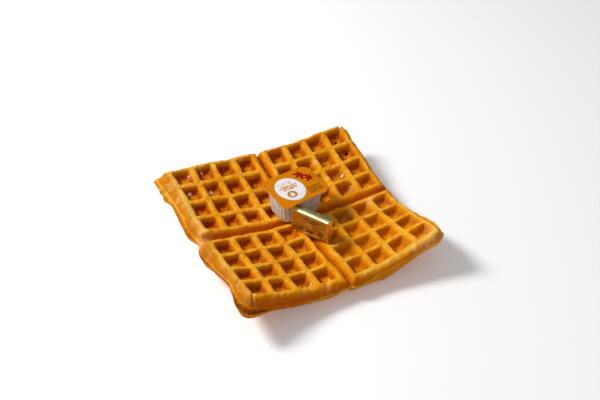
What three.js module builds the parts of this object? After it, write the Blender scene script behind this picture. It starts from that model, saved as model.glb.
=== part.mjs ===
// A square Belgian waffle of four quarters, baked in one piece, with a shut cup of syrup and a
// foil-wrapped pat of butter on top. Millimetres, +Z up, and the origin is on the table below
// the middle of the waffle's outline. The waffle stands on the flat ribs round the crossing of
// its seams, and its edges and corners curl up from there. +X runs from the left quarters to
// the right ones, and +Y from the front quarters to the back ones.

import * as THREE from 'three';
import { mergeVertices } from 'three/addons/utils/BufferGeometryUtils.js';

// Waffle: the grid that the iron presses into both sides
const PITCH = 22; // from one pocket's middle to the next
const POCKETS = 4; // along one side of a quarter
const SEAM_EXTRA = { x: 12, y: 14.5 }; // how much wider that step is across a seam
const POCKET_MOUTH = 15.8;
const POCKET_FLOOR = 8.8;
const POCKET_DEPTH = 8.3;
const SEAM_RIB = 6.5; // flat rib between a pocket and the seam
const SEAM_DEPTH = 8.4;
const EDGE_RIB = { x: [7, 5], y: [7, 4.5] }; // flat rib outside the outermost pockets
const THICKNESS = 20.5;

// Waffle: walls and unevenness
const WALL_LEAN = 4.2; // how far an outer wall leans out down to the parting line
const LOWER_STEP = 1.3; // the lower half reaches this much further out than the upper one
const LIP_HALF = 1.1; // half the height of the lip of batter at the parting line
const LIP_REACH = 0.9;
const RIB_CROWN = 0.9; // how far a rib's sides fall off from its crest
const EDGE_FALL = 1.3; // the same at the outer wall and at the seam
const SEAM_NOTCH = 2.5; // the outline steps in by this at a seam's end
const CORNER_PULL = { mouth: 1.5, floor: 0.7, outline: 4 };
// Places where the outer wall is out of shape, each with its width and how far the wall moves:
// batter that ran out through the lip,
const FLASH = [
  { x: -98, y: 97, size: 9, move: [-7, 1, 0] },
  { x: -98, y: 79, size: 7, move: [-6.5, 0, 0] },
  { x: 97, y: 95, size: 8, move: [2, 0, 0] },
];
// the lower half bulging out from under the upper one,
const BULGES = [
  { x: -98, y: -99, size: 11, move: [-8, -2.5, 0] },
  { x: -98, y: 20, size: 13, move: [-3, 0, 0] },
  { x: -98, y: -22, size: 11, move: [-3, 0, 0] },
];
// and the lower half running short of batter, so that its edge rises.
const SHORTS = [
  { x: 14, y: -99, size: 20, move: [0, 2, 6.5] },
  { x: -42, y: -99, size: 44, move: [0, 1, 3.2] },
];
const RIPPLE = 0.35;
const POCKET_SPREAD = 0.09; // share by which pockets differ in depth and width

// Waffle: how far the middle of each edge and each corner curls up, at CURL_REACH from the middle
const CURL_REACH = 99;
const CURL_START = 0.2; // share of the reach that stays flat
const CURL_POWER = 1.5;
const EDGE_CURL = { left: 12.7, right: 4.8, back: 15.1, front: 1 };
const CORNER_CURL = { backLeft: 21.8, backRight: 23.5, frontLeft: 23.8, frontRight: 26.2 };
// How far each quarter is turned about its own middle, in degrees, as it tore and settled
const QUARTER_TURN = { backLeft: -0.3, backRight: -0.6, frontLeft: 2.0, frontRight: 1.1 };
const OUTLINE_MIDDLE = { x: -3.1, y: -2.5 }; // as seen from the crossing of the seams

// Cup of syrup
const GAP = 0.3; // air between pieces that touch
const CUP_MIDDLE = { x: 0.8, y: 11.3 };
const CUP_TURN = 8.3; // degrees
const CUP_TILT = 2; // its back stands higher than its front
const CUP = {
  height: 28.6,
  flange: { x: 55.4, y: 44.8, radius: 8.6, thick: 0.9 },
  mouth: { x: 45.4, y: 35.8, radius: 7.5 },
  foot: { x: 40.2, y: 27.8, radius: 7 },
  wall: 0.8,
  footBevel: 1.6,
};
const FLUTES = 48;
const FLUTE_DEPTH = 0.7;
const SYRUP_LEVEL = 0.86; // share of the cup's height
const LID = { overhang: 0.4, thick: 0.5 };

// Pat of butter: it stands on its long narrow side, across the seams' crossing
const PAT = { length: 39.5, thick: 9, height: 23 };
const PAT_MIDDLE = { x: -0.9, y: -28.3 };
const PAT_TURN = -60.4;
const PAT_LEAN = -2.4; // its top leans towards the back
const PAT_EDGE = 0.7; // rounding of its edges
const PAT_CRUMPLE = 0.22;

const DEGREE = Math.PI / 180;

// Helpers

// Makes one closed solid of a geometry: merged corners, no flat triangles, faces pointing out.
function solid(geometry) {
  geometry.deleteAttribute('normal');
  geometry.deleteAttribute('uv');
  geometry.clearGroups();
  const merged = mergeVertices(geometry, 1e-4);
  const place = merged.getAttribute('position');
  const corners = [];
  const [a, b, c] = [new THREE.Vector3(), new THREE.Vector3(), new THREE.Vector3()];
  let volume = 0;
  for (let t = 0; t < merged.index.count; t += 3) {
    const [i, j, k] = [0, 1, 2].map((n) => merged.index.getX(t + n));
    if (i === j || j === k || k === i) continue;
    corners.push(i, j, k);
    a.fromBufferAttribute(place, i);
    b.fromBufferAttribute(place, j);
    c.fromBufferAttribute(place, k);
    volume += a.dot(b.cross(c));
  }
  if (volume < 0) corners.reverse();
  merged.setIndex(corners);
  merged.computeVertexNormals();
  return merged;
}

function piece(name, geometry, colour, roughness, metalness = 0) {
  const material = new THREE.MeshStandardMaterial({ color: colour, roughness, metalness });
  const mesh = new THREE.Mesh(solid(geometry), material);
  mesh.name = name;
  return mesh;
}

function movePoints(geometry, newPlace) {
  const place = geometry.getAttribute('position');
  for (let n = 0; n < place.count; n += 1) {
    const [x, y, z] = newPlace(place.getX(n), place.getY(n), place.getZ(n), n);
    place.setXYZ(n, x, y, z);
  }
  return geometry;
}

// A repeatable number from -1 to 1 for each whole number.
function spread(n) {
  const s = Math.sin(n * 12.9898 + 4.1) * 43758.5453;
  return 2 * (s - Math.floor(s)) - 1;
}

// How far a list of places moves a point, fading away from each of them.
function moved(places, x, y) {
  const sum = new THREE.Vector3();
  for (const place of places) {
    const away = Math.hypot(x - place.x, y - place.y) / place.size;
    sum.addScaledVector(new THREE.Vector3(...place.move), Math.exp(-away * away));
  }
  return sum;
}

// A gentle unevenness from about -1 to 1.
function ripple(x, y) {
  return 0.6 * Math.sin(x / 7.3 + 1.1) * Math.sin(y / 8.1 + 0.4) + 0.4 * Math.sin(x / 4.7 - y / 5.9);
}

// Waffle

// Height that the sheet's curl adds at a place.
function curl(x, y) {
  const rise = (t) => (Math.max(0, t / CURL_REACH - CURL_START) / (1 - CURL_START)) ** CURL_POWER;
  const side = { left: rise(-x), right: rise(x), front: rise(-y), back: rise(y) };
  let height = 0;
  for (const name of Object.keys(side)) height += EDGE_CURL[name] * side[name];
  for (const depth of ['back', 'front']) {
    for (const across of ['left', 'right']) {
      const corner = depth + across[0].toUpperCase() + across.slice(1);
      const extra = CORNER_CURL[corner] - EDGE_CURL[depth] - EDGE_CURL[across];
      height += extra * side[depth] * side[across];
    }
  }
  return height;
}

const firstPocket = (axis) => (PITCH + SEAM_EXTRA[axis]) / 2;
const seamHalf = (axis) => firstPocket(axis) - POCKET_MOUTH / 2 - SEAM_RIB;

// The grid's lines along one axis, from end to end: each with its place, what it runs along and,
// if it borders a pocket, that pocket's middle (else 0).
function gridLines(axis) {
  const half = (edgeRib) => {
    const lines = [{ at: seamHalf(axis), kind: 'shoulder', middle: 0 }];
    for (let pocket = 0; pocket < POCKETS; pocket += 1) {
      const middle = firstPocket(axis) + pocket * PITCH;
      lines.push({ at: middle - POCKET_MOUTH / 2, kind: 'mouth', middle });
      lines.push({ at: middle - POCKET_FLOOR / 2, kind: 'floor', middle });
      lines.push({ at: middle + POCKET_FLOOR / 2, kind: 'floor', middle });
      lines.push({ at: middle + POCKET_MOUTH / 2, kind: 'mouth', middle });
      if (pocket < POCKETS - 1) lines.push({ at: middle + PITCH / 2, kind: 'crest', middle: 0 });
    }
    lines.push({ at: lines.at(-1).at + edgeRib, kind: 'shoulder', middle: 0 });
    return lines;
  };
  const [low, high] = EDGE_RIB[axis].map(half);
  const mirrored = low.map((line) => ({ ...line, at: -line.at, middle: -line.middle }));
  return [...mirrored.reverse(), { at: 0, kind: 'seam', middle: 0 }, ...high];
}

// Turns each quarter about its own middle, with the seams sharing their neighbours' turns.
function settle(x, y) {
  const right = THREE.MathUtils.clamp(0.5 + x / (2 * seamHalf('x')), 0, 1);
  const back = THREE.MathUtils.clamp(0.5 + y / (2 * seamHalf('y')), 0, 1);
  const share = {
    backLeft: back * (1 - right),
    backRight: back * right,
    frontLeft: (1 - back) * (1 - right),
    frontRight: (1 - back) * right,
  };
  const reach = ((POCKETS - 1) / 2) * PITCH;
  let [toX, toY] = [0, 0];
  for (const [name, part] of Object.entries(share)) {
    const middleX = (name.endsWith('Right') ? 1 : -1) * (firstPocket('x') + reach);
    const middleY = (name.startsWith('back') ? 1 : -1) * (firstPocket('y') + reach);
    const angle = QUARTER_TURN[name] * DEGREE;
    const [dx, dy] = [x - middleX, y - middleY];
    toX += part * (middleX + dx * Math.cos(angle) - dy * Math.sin(angle));
    toY += part * (middleY + dx * Math.sin(angle) + dy * Math.cos(angle));
  }
  return [toX, toY];
}

// How far the pressed surface lies below the rib crests where two grid lines cross. The ribs
// that the waffle lies on are pressed flat.
function pressed(lineX, lineY, vary, flatRibs) {
  const kinds = [lineX.kind, lineY.kind];
  if (kinds.includes('seam')) return SEAM_DEPTH;
  if (lineX.kind === 'floor' && lineY.kind === 'floor') return POCKET_DEPTH * (1 + POCKET_SPREAD * vary);
  if (flatRibs) return 0;
  if (kinds.includes('shoulder')) return EDGE_FALL;
  return kinds.includes('crest') ? 0 : RIB_CROWN;
}

function waffleGeometry() {
  const lines = { x: gridLines('x'), y: gridLines('y') };
  const cells = lines.x.length - 1;
  // Rows of the outer wall, from the bottom rib to the top rib: height, reach past the rib, and
  // how much of a shortage of batter shows.
  const middle = THICKNESS / 2;
  const rows = [
    { z: 0, out: LOWER_STEP / 2, places: BULGES, short: 1 },
    { z: middle - LIP_HALF, out: WALL_LEAN + LOWER_STEP, places: BULGES, short: 0.5 },
    { z: middle, out: WALL_LEAN + LIP_REACH, places: FLASH, short: 0.4 },
    { z: middle + LIP_HALF, out: WALL_LEAN, places: [], short: 0.3 },
    { z: THICKNESS, out: 0, places: [], short: 0 },
  ];
  const last = rows.length - 1;
  const block = new THREE.BoxGeometry(1, 1, 1, cells, cells, last);
  return movePoints(block, (u, v, w) => {
    const [i, j, row] = [(u + 0.5) * cells, (v + 0.5) * cells, (w + 0.5) * last].map(Math.round);
    const [lineX, lineY] = [lines.x[i], lines.y[j]];
    const outX = i === 0 ? -1 : Number(i === cells);
    const outY = j === 0 ? -1 : Number(j === cells);
    let [x, y, z] = [lineX.at, lineY.at, rows[row].z];

    // The pressed sides
    if (row === 0 || row === last) {
      const pocket = Math.round(lineX.middle * 3 + lineY.middle * 7 + row);
      const down = pressed(lineX, lineY, spread(pocket), row === 0);
      z += row === last ? -down : down;
      if (lineX.middle && lineY.middle) {
        const corner = lineX.kind === 'mouth' && lineY.kind === 'mouth';
        const base = lineX.kind === 'floor' && lineY.kind === 'floor';
        const pull = corner ? CORNER_PULL.mouth : base ? CORNER_PULL.floor : 0;
        x -= Math.sign(x - lineX.middle) * pull + spread(pocket + 1) * POCKET_SPREAD * 4;
        y -= Math.sign(y - lineY.middle) * pull + spread(pocket + 2) * POCKET_SPREAD * 4;
      }
      if (row === last || down > 0) z += RIPPLE * ripple(x + z, y);
    }

    // The outer wall
    if (outX || outY) {
      const notch = lineX.kind === 'seam' || lineY.kind === 'seam' ? SEAM_NOTCH : 0;
      const corner = outX && outY ? CORNER_PULL.outline : 0;
      const out = rows[row].out - notch - corner;
      const bent = moved(rows[row].places, x, y).addScaledVector(moved(SHORTS, x, y), rows[row].short);
      x += outX * out + bent.x;
      y += outY * out + bent.y;
      z += bent.z;
    }

    const [toX, toY] = settle(x, y);
    return [toX, toY, z + curl(x, y)];
  });
}

// Cup of syrup

// A point on a rounded rectangle's outline, at a share t of the way round from the middle of +X.
function outlinePoint({ x: sizeX, y: sizeY, radius }, t) {
  const straight = [sizeY / 2 - radius, sizeX / 2 - radius];
  const arc = (Math.PI / 2) * radius;
  const quarter = straight[0] + arc + straight[1];
  const turn = Math.floor(t * 4);
  const odd = turn % 2 === 1;
  let along = (t * 4 - turn) * quarter;
  if (odd) along = quarter - along;
  let point = [sizeX / 2, along];
  if (along > straight[0]) {
    const angle = Math.min((along - straight[0]) / radius, Math.PI / 2);
    point = [straight[1] + radius * Math.cos(angle), straight[0] + radius * Math.sin(angle)];
  }
  if (along > straight[0] + arc) point = [quarter - along, sizeY / 2];
  return [point[0] * [1, -1, -1, 1][turn], point[1] * [1, 1, -1, -1][turn]];
}

const shrunk = (outline, by) => ({
  x: outline.x - 2 * by,
  y: outline.y - 2 * by,
  radius: Math.max(1.5, outline.radius - by),
});

const between = (low, high, share) => ({
  x: THREE.MathUtils.lerp(low.x, high.x, share),
  y: THREE.MathUtils.lerp(low.y, high.y, share),
  radius: THREE.MathUtils.lerp(low.radius, high.radius, share),
});

// A solid of stacked outlines. Each ring is an outline with its height z, fluted or not; the
// first and last rings close on the axis.
function stackedGeometry(rings, segments) {
  const profile = [rings[0], ...rings, rings.at(-1)].map((ring) => new THREE.Vector2(1, ring.z));
  const turned = new THREE.LatheGeometry(profile, segments);
  return movePoints(turned, (x, y, z, n) => {
    const t = (Math.floor(n / profile.length) % segments) / segments;
    const at = n % profile.length;
    const ring = rings[THREE.MathUtils.clamp(at - 1, 0, rings.length - 1)];
    if (at === 0 || at === profile.length - 1) return [0, 0, ring.z];
    const flute = ring.fluted ? (FLUTE_DEPTH / 2) * (1 - Math.cos(2 * Math.PI * FLUTES * t)) : 0;
    return [...outlinePoint(shrunk(ring, flute), t), ring.z];
  });
}

function cupGeometry() {
  const { height, flange, mouth, foot, wall, footBevel } = CUP;
  const under = height - flange.thick;
  const shoulder = between(foot, mouth, footBevel / under);
  return stackedGeometry(
    [
      { ...shrunk(foot, footBevel), z: 0 },
      { ...shoulder, z: footBevel, fluted: true },
      { ...mouth, z: under - 1, fluted: true },
      { ...mouth, z: under },
      { ...flange, z: under },
      { ...flange, z: height },
      { ...shrunk(mouth, wall), z: height },
      { ...shrunk(mouth, wall + FLUTE_DEPTH), z: under - 1 },
      { ...shrunk(shoulder, wall + FLUTE_DEPTH), z: footBevel },
      { ...shrunk(foot, footBevel + wall), z: wall },
    ],
    FLUTES * 2,
  );
}

function syrupGeometry() {
  const { height, flange, mouth, foot, wall, footBevel } = CUP;
  const under = height - flange.thick;
  const inset = wall + FLUTE_DEPTH + GAP;
  const level = height * SYRUP_LEVEL;
  return stackedGeometry(
    [
      { ...shrunk(foot, footBevel + wall + GAP), z: wall + GAP },
      { ...shrunk(between(foot, mouth, footBevel / under), inset), z: footBevel + GAP },
      { ...shrunk(between(foot, mouth, level / under), inset), z: level },
    ],
    FLUTES,
  );
}

function lidGeometry() {
  const outline = shrunk(CUP.flange, -LID.overhang);
  const points = [];
  for (let n = 0; n < FLUTES; n += 1) {
    points.push(new THREE.Vector2(...outlinePoint(outline, n / FLUTES)));
  }
  const settings = { depth: LID.thick, bevelEnabled: false };
  return new THREE.ExtrudeGeometry(new THREE.Shape(points), settings);
}

// Pat of butter: a block in foil, with its long edges rounded and its faces a little crumpled.
function patGeometry() {
  const size = [PAT.length, PAT.thick, PAT.height];
  const block = new THREE.BoxGeometry(...size, 14, 4, 8);
  return movePoints(block, (x, y, z) => {
    const place = [x, y, z];
    const inner = place.map((at, n) => Math.abs(at) - (size[n] / 2 - PAT_EDGE));
    const beyond = inner.map((over) => Math.max(0, over));
    const length = Math.hypot(...beyond);
    const pull = length > PAT_EDGE ? PAT_EDGE / length : 1;
    const rounded = place.map((at, n) => at - Math.sign(at) * beyond[n] * (1 - pull));
    const foot = z < -size[2] / 2 + PAT_EDGE;
    const crumple = foot ? 0 : PAT_CRUMPLE * (Math.sin(x * 1.3 + z) + Math.sin(z * 0.9 - x * 0.4));
    rounded[1] += Math.sign(y) * (Math.abs(y) > size[1] / 3 ? crumple : 0);
    return rounded;
  });
}

// Assembly

const model = new THREE.Group();
const onWaffle = THICKNESS + RIPPLE + GAP;

model.add(piece('waffle', waffleGeometry(), 0xd6912f, 0.6));

const cup = new THREE.Group();
const frontDip = (CUP.foot.y / 2) * Math.sin(CUP_TILT * DEGREE);
cup.position.set(CUP_MIDDLE.x, CUP_MIDDLE.y, onWaffle + frontDip);
cup.rotation.set(CUP_TILT * DEGREE, 0, CUP_TURN * DEGREE, 'ZYX');
cup.add(piece('syrup_cup', cupGeometry(), 0xd9cfca, 0.4));
cup.add(piece('syrup', syrupGeometry(), 0x5a2a10, 0.15));
const lid = piece('cup_lid', lidGeometry(), 0xe08c10, 0.35);
lid.position.z = CUP.height + GAP;
cup.add(lid);
model.add(cup);

const pat = piece('butter_pat', patGeometry(), 0xc8902c, 0.3, 0.9);
const lift = (PAT.thick / 2) * Math.sin(Math.abs(PAT_LEAN) * DEGREE);
pat.position.set(PAT_MIDDLE.x, PAT_MIDDLE.y, onWaffle + lift + PAT.height / 2);
pat.rotation.set(PAT_LEAN * DEGREE, 0, PAT_TURN * DEGREE, 'ZYX');
model.add(pat);

model.children.forEach((child) => {
  child.position.x -= OUTLINE_MIDDLE.x;
  child.position.y -= OUTLINE_MIDDLE.y;
});

export default model;
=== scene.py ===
# %% [markdown]
# # A square waffle with a cup of syrup and a pat of butter
# The object is one large waffle of four quarters, with a shut cup of syrup and a pat of butter in
# foil on its middle. A CAD model gives the place and main size of each piece. This lesson models
# every piece again, finely, with Blender's bmesh operators, and gives it its finish.
# The CAD model is loaded first.

# %% Load the CAD model
import math

import bmesh
import bpy
import numpy as np
from mathutils import Matrix, Vector, noise


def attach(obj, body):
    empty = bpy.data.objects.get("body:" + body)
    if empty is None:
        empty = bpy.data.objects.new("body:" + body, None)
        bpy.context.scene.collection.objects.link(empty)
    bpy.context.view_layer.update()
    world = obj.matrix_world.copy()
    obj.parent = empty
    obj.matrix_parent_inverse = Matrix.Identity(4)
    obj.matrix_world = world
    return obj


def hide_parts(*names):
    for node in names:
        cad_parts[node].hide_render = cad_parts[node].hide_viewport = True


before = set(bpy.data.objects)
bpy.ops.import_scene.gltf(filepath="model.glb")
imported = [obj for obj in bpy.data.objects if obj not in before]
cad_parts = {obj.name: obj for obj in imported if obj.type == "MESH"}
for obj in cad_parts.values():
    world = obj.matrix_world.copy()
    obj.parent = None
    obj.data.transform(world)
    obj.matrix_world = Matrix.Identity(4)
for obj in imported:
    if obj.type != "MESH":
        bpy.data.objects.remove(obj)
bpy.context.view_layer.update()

MM = 0.001
print("CAD nodes:", sorted(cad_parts))

# %% [markdown]
# ## The camera
# The camera looks down at the waffle from the front left, as one does at a plate on a table. A
# normal lens from about a metre away keeps the ribs nearly parallel. The camera is aimed by
# `to_track_quat`, which turns its own -Z axis along the line of sight and keeps its top up.

# %% Place the camera
CAMERA_PLACE = Vector((-299.9, -614.2, 583.1)) * MM
CAMERA_AIM = Vector((15.06, 25.30, 20.5)) * MM
SENSOR_WIDTH = 36.0
LENS = 55.62

camera_data = bpy.data.cameras.new("camera")
camera_data.sensor_width = SENSOR_WIDTH
camera_data.lens = LENS
camera = bpy.data.objects.new("camera", camera_data)
camera.location = CAMERA_PLACE
camera.rotation_euler = (CAMERA_AIM - CAMERA_PLACE).to_track_quat("-Z", "Y").to_euler()
bpy.context.scene.collection.objects.link(camera)
bpy.context.scene.camera = camera
print("camera distance:", round((CAMERA_AIM - CAMERA_PLACE).length, 3), "m")

# %% [markdown]
# ## The floor and the light
# A plain white floor and a bright, even sky stand in for a studio's white sweep. One large lamp
# high at the back left gives the pockets a dark and a bright side, and a weaker one at the front
# left opens up the walls that face the camera. Area lamps are used because their size makes the
# shadows soft. The Standard view shows colours as they are worked out, without a film curve.

# %% Lay the floor and hang the lamps
SKY_STRENGTH = 0.33
FLOOR_HALF = 3.0
LAMPS = {
    "key": {"place": (-0.95, 0.70, 1.20), "size": 0.5, "watts": 27.0},
    "fill": {"place": (-0.75, -0.95, 0.85), "size": 0.9, "watts": 1.0},
}

scene = bpy.context.scene
scene.view_settings.view_transform = "Standard"
world = bpy.data.worlds.new("studio")
world.use_nodes = True
world.node_tree.nodes["Background"].inputs["Color"].default_value = (1, 1, 1, 1)
world.node_tree.nodes["Background"].inputs["Strength"].default_value = SKY_STRENGTH
scene.world = world

for lamp_name, lamp in LAMPS.items():
    lamp_data = bpy.data.lights.new(lamp_name, "AREA")
    lamp_data.size = lamp["size"]
    lamp_data.energy = lamp["watts"]
    lamp_object = bpy.data.objects.new(lamp_name, lamp_data)
    lamp_object.location = lamp["place"]
    lamp_object.rotation_euler = (-Vector(lamp["place"])).to_track_quat("-Z", "Y").to_euler()
    scene.collection.objects.link(lamp_object)
print("lamps:", list(LAMPS))

# %% [markdown]
# ## Two small helpers for materials
# A material is a network of nodes. Written out link by link it is hard to read, so `Value` wraps
# one output socket and lets Python's own signs make the Math nodes: `1 - mask` adds a node that
# subtracts. `Finish` holds one material, and its `node` method adds any other kind of node: it
# takes the node's type, then its settings, then what goes into its sockets.

# %% A socket that can be reckoned with
class Value:
    """One output of a node, which Python's signs turn into further nodes."""
    def __init__(self, finish, socket):
        self.finish = finish
        self.socket = socket

    def maths(self, operation, *numbers):
        settings = {"operation": operation}
        return self.finish.node("ShaderNodeMath", settings, dict(enumerate(numbers)))

    def __add__(self, other):
        return self.maths("ADD", self, other)

    def __sub__(self, other):
        return self.maths("SUBTRACT", self, other)

    def __rsub__(self, other):
        return self.maths("SUBTRACT", other, self)

    def __mul__(self, other):
        return self.maths("MULTIPLY", self, other)

    def __truediv__(self, other):
        return self.maths("DIVIDE", self, other)

    def __pow__(self, other):
        return self.maths("POWER", self, other)

    def __abs__(self):
        return self.maths("ABSOLUTE", self)

    def least(self, other):
        return self.maths("MINIMUM", self, other)

    def most(self, other):
        return self.maths("MAXIMUM", self, other)

    def part(self):
        return self.maths("FRACT", self)

    def between(self, low, high):
        """0 below low, 1 above high and a straight ramp in between."""
        settings = {"clamp": True}
        sockets = {"Value": self, "From Min": low, "From Max": high}
        return self.finish.node("ShaderNodeMapRange", settings, sockets)

    __radd__ = __add__
    __rmul__ = __mul__


print("signs and methods:", [name for name in vars(Value) if callable(getattr(Value, name))])

# %% A material and the method that adds any node
class Finish:
    """One material: its nodes, its links and its shader."""
    def __init__(self, name):
        self.material = bpy.data.materials.new(name)
        self.material.use_nodes = True
        self.nodes = self.material.node_tree.nodes
        self.links = self.material.node_tree.links
        self.shader = self.nodes["Principled BSDF"]

    def plug(self, socket, value):
        if isinstance(value, Value):
            self.links.new(value.socket, socket)
        elif socket.type == "RGBA" and len(value) == 3:
            socket.default_value = (*value, 1)
        else:
            socket.default_value = value

    def node(self, kind, settings=None, sockets=None, out=None):
        made = self.nodes.new(kind)
        for name, setting in (settings or {}).items():
            setattr(made, name, setting)
        for key, value in (sockets or {}).items():
            if isinstance(key, int):
                socket = made.inputs[key]
            else:
                socket = next(s for s in made.inputs if s.enabled and s.name == key)
            self.plug(socket, value)
        outputs = [s for s in made.outputs if s.enabled]
        chosen = next((s for s in outputs if s.name == out), outputs[0])
        return Value(self, chosen)

    def mix(self, share, first, second):
        """The first colour where share is 0, and the second where it is 1."""
        settings = {"data_type": "RGBA", "clamp_factor": True}
        return self.node("ShaderNodeMix", settings, {"Factor": share, "A": first, "B": second})

    def layers(self, ground, *coats):
        """Lays each coat, a mask and a colour, over what is below it."""
        for mask, colour in coats:
            ground = self.mix(mask, ground, colour)
        return ground

    def attribute(self, name):
        return self.node("ShaderNodeAttribute", {"attribute_name": name}, out="Fac")

    def place(self, middle=(0, 0, 0), turn=(0, 0, 0), scale=(1, 1, 1)):
        """Object coordinates, seen from a piece's own middle and turn."""
        here = self.node("ShaderNodeTexCoord", out="Object")
        sockets = {"Vector": here, "Location": middle, "Rotation": turn, "Scale": scale}
        return self.node("ShaderNodeMapping", {"vector_type": "TEXTURE"}, sockets)

    def cloud(self, where, size, detail=3.0, rough=0.5, twist=0.0):
        """Soft noise from 0 to 1 whose patches are about size wide."""
        sockets = {"Vector": where, "Scale": 1 / size, "Detail": detail,
                   "Roughness": rough, "Distortion": twist}
        return self.node("ShaderNodeTexNoise", None, sockets)

    def cells(self, where, size):
        """How far a point is from the middle of its cell, for cells about size wide."""
        return self.node("ShaderNodeTexVoronoi", None, {"Vector": where, "Scale": 1 / size})

    def bump(self, height, depth, strength=1.0):
        sockets = {"Height": height, "Distance": depth, "Strength": strength}
        return self.node("ShaderNodeBump", None, sockets)

    def set(self, **sockets):
        """Feeds the shader: Base_Color=... stands for the socket Base Color."""
        for name, value in sockets.items():
            self.plug(self.shader.inputs[name.replace("_", " ")], value)


print("methods:", [name for name in vars(Finish) if not name.startswith("_")])

# %% [markdown]
# The floor gets a first, simple finish: near white, with the faintest unevenness of paper.

# %% Finish the floor
FLOOR_WHITE = (0.93, 0.93, 0.93)
FLOOR_SHADE = (0.91, 0.91, 0.915)
FLOOR_GLOW = 0.14                         # a light table: it keeps the far floor white
FLOOR_ROUGHNESS = 0.8
PAPER_PATCH = 0.25


def linked_object(name, form):
    """Turns a bmesh into an object of the scene."""
    mesh = bpy.data.meshes.new(name)
    form.to_mesh(mesh)
    form.free()
    made = bpy.data.objects.new(name, mesh)
    scene.collection.objects.link(made)
    return made


floor_form = bmesh.new()
bmesh.ops.create_grid(floor_form, x_segments=2, y_segments=2, size=FLOOR_HALF)
floor = linked_object("floor", floor_form)

paper = Finish("white_paper")
paper_cloud = paper.cloud(paper.place(), PAPER_PATCH)
paper.set(
    Base_Color=paper.mix(paper_cloud, FLOOR_WHITE, FLOOR_SHADE), Roughness=FLOOR_ROUGHNESS,
    Emission_Color=FLOOR_WHITE, Emission_Strength=FLOOR_GLOW,
)
floor.data.materials.append(paper.material)
print("floor:", len(floor.data.polygons), "faces")

# %% [markdown]
# ## The waffle: the iron's grid
# A waffle takes its shape from the iron: a square grid of ribs, pressed into both sides, with a
# deeper and wider step where two quarters meet. The sizes below are the iron's. A list of places
# along each axis says where the grid's lines run, from one end of the waffle to the other.

# %% The iron's sizes and the grid's lines
PITCH = 22 * MM                       # from one pocket's middle to the next
POCKETS = 4                           # along one side of a quarter
SEAM_EXTRA = (12 * MM, 14.5 * MM)     # along x and y: how much wider a step is across a seam
POCKET_MOUTH = 18.3 * MM
POCKET_RINGS = ((1.2, 1.1), (3.2, 7.3))      # mm: how far in and how far down, rib to floor
SEAM_RIB = 5.7 * MM
SEAM_DEPTH = 8.4 * MM
EDGE_RIB = ((6.2 * MM, 4.2 * MM), (6.2 * MM, 3.7 * MM))     # low and high end, along x and y
EDGE_FALL = 1.9 * MM                  # a border's outer side lies this far below its crest
THICKNESS = 20.5 * MM
HALF = THICKNESS / 2
TINY = 1e-6

first_pocket = [(PITCH + extra) / 2 for extra in SEAM_EXTRA]
pocket_depth = sum(down for _, down in POCKET_RINGS) * MM


def grid_places(axis):
    """Outwards from the seam: its shoulder, a crest, then both sides and the middle of pockets."""
    start = first_pocket[axis] - POCKET_MOUTH / 2
    half = [start - SEAM_RIB, start - SEAM_RIB / 2]
    for pocket in range(POCKETS):
        middle = first_pocket[axis] + pocket * PITCH
        half += [middle - POCKET_MOUTH / 2, middle, middle + POCKET_MOUTH / 2]
    end = half[-1]
    low, high = (half + [end + rib / 2, end + rib] for rib in EDGE_RIB[axis])
    return [-at for at in reversed(low)] + [0.0] + high


places = [grid_places(axis) for axis in (0, 1)]
print("grid lines:", len(places[0]), "by", len(places[1]))

# %% [markdown]
# The upper side starts as a flat grid with two by two faces for each pocket. Its lines are moved to
# their places, and the two seam lines are pressed into V-shaped grooves. Then `inset_region` with a
# depth, used twice on all pockets at once, turns each of them into a pit: a short round shoulder
# first, then a leaning wall, as the iron's blunt pyramids press them.

# %% Press the ribs, seams and pockets
waffle_form = bmesh.new()
cells = len(places[0]) - 1
last_line = cells // 2
bmesh.ops.create_grid(waffle_form, x_segments=cells, y_segments=cells, size=1)
line_numbers = {corner: [0, 0] for corner in waffle_form.verts}
for axis in (0, 1):
    lines = {}
    for corner in waffle_form.verts:
        lines.setdefault(round((corner.co[axis] + 1) / 2 * cells), []).append(corner)
    for number, line in lines.items():
        step = Vector()
        step[axis] = places[axis][number] - line[0].co[axis]
        bmesh.ops.translate(waffle_form, verts=line, vec=step)
        for corner in line:
            line_numbers[corner][axis] = abs(number - last_line)

for corner, numbers in line_numbers.items():
    at_edge = 1 in numbers or last_line in numbers
    corner.co.z = HALF - (SEAM_DEPTH if 0 in numbers else EDGE_FALL if at_edge else 0)


def pocket_step(at, axis):
    """Which pocket a place is nearest to, counted from the seam, and how far off its middle is."""
    number = np.clip(np.round((np.abs(at) - first_pocket[axis]) / PITCH), 0, POCKETS - 1)
    middle = np.sign(at) * (first_pocket[axis] + number * PITCH)
    return number, at - middle


def over_pocket(face):
    middle = face.calc_center_median()
    return all(abs(pocket_step(middle[axis], axis)[1]) < POCKET_MOUTH / 2 for axis in (0, 1))


waffle_form.normal_update()
floors = [face for face in waffle_form.faces if over_pocket(face)]
for inwards, down in POCKET_RINGS:
    bmesh.ops.inset_region(
        waffle_form, faces=floors, thickness=inwards * MM, depth=-down * MM, use_even_offset=True
    )
print("pockets pressed:", len(floors) // 4, "deep:", round(pocket_depth / MM, 1), "mm")

# %% [markdown]
# The outer wall leans out down to the parting line, where the two halves of the iron meet and a
# lip of batter is squeezed out. The open edge is extruded row by row. Each row is scaled towards
# the parting line, which keeps the grooves' ends in shape, and its four sides move out. Then
# `mirror` makes the lower half.

# %% Draw the wall down to the parting line and mirror it
WALL_ROWS = ((6.0, 1.7), (1.6, 3.4), (0.0, 4.2))     # mm: height above the parting line, reach


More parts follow.
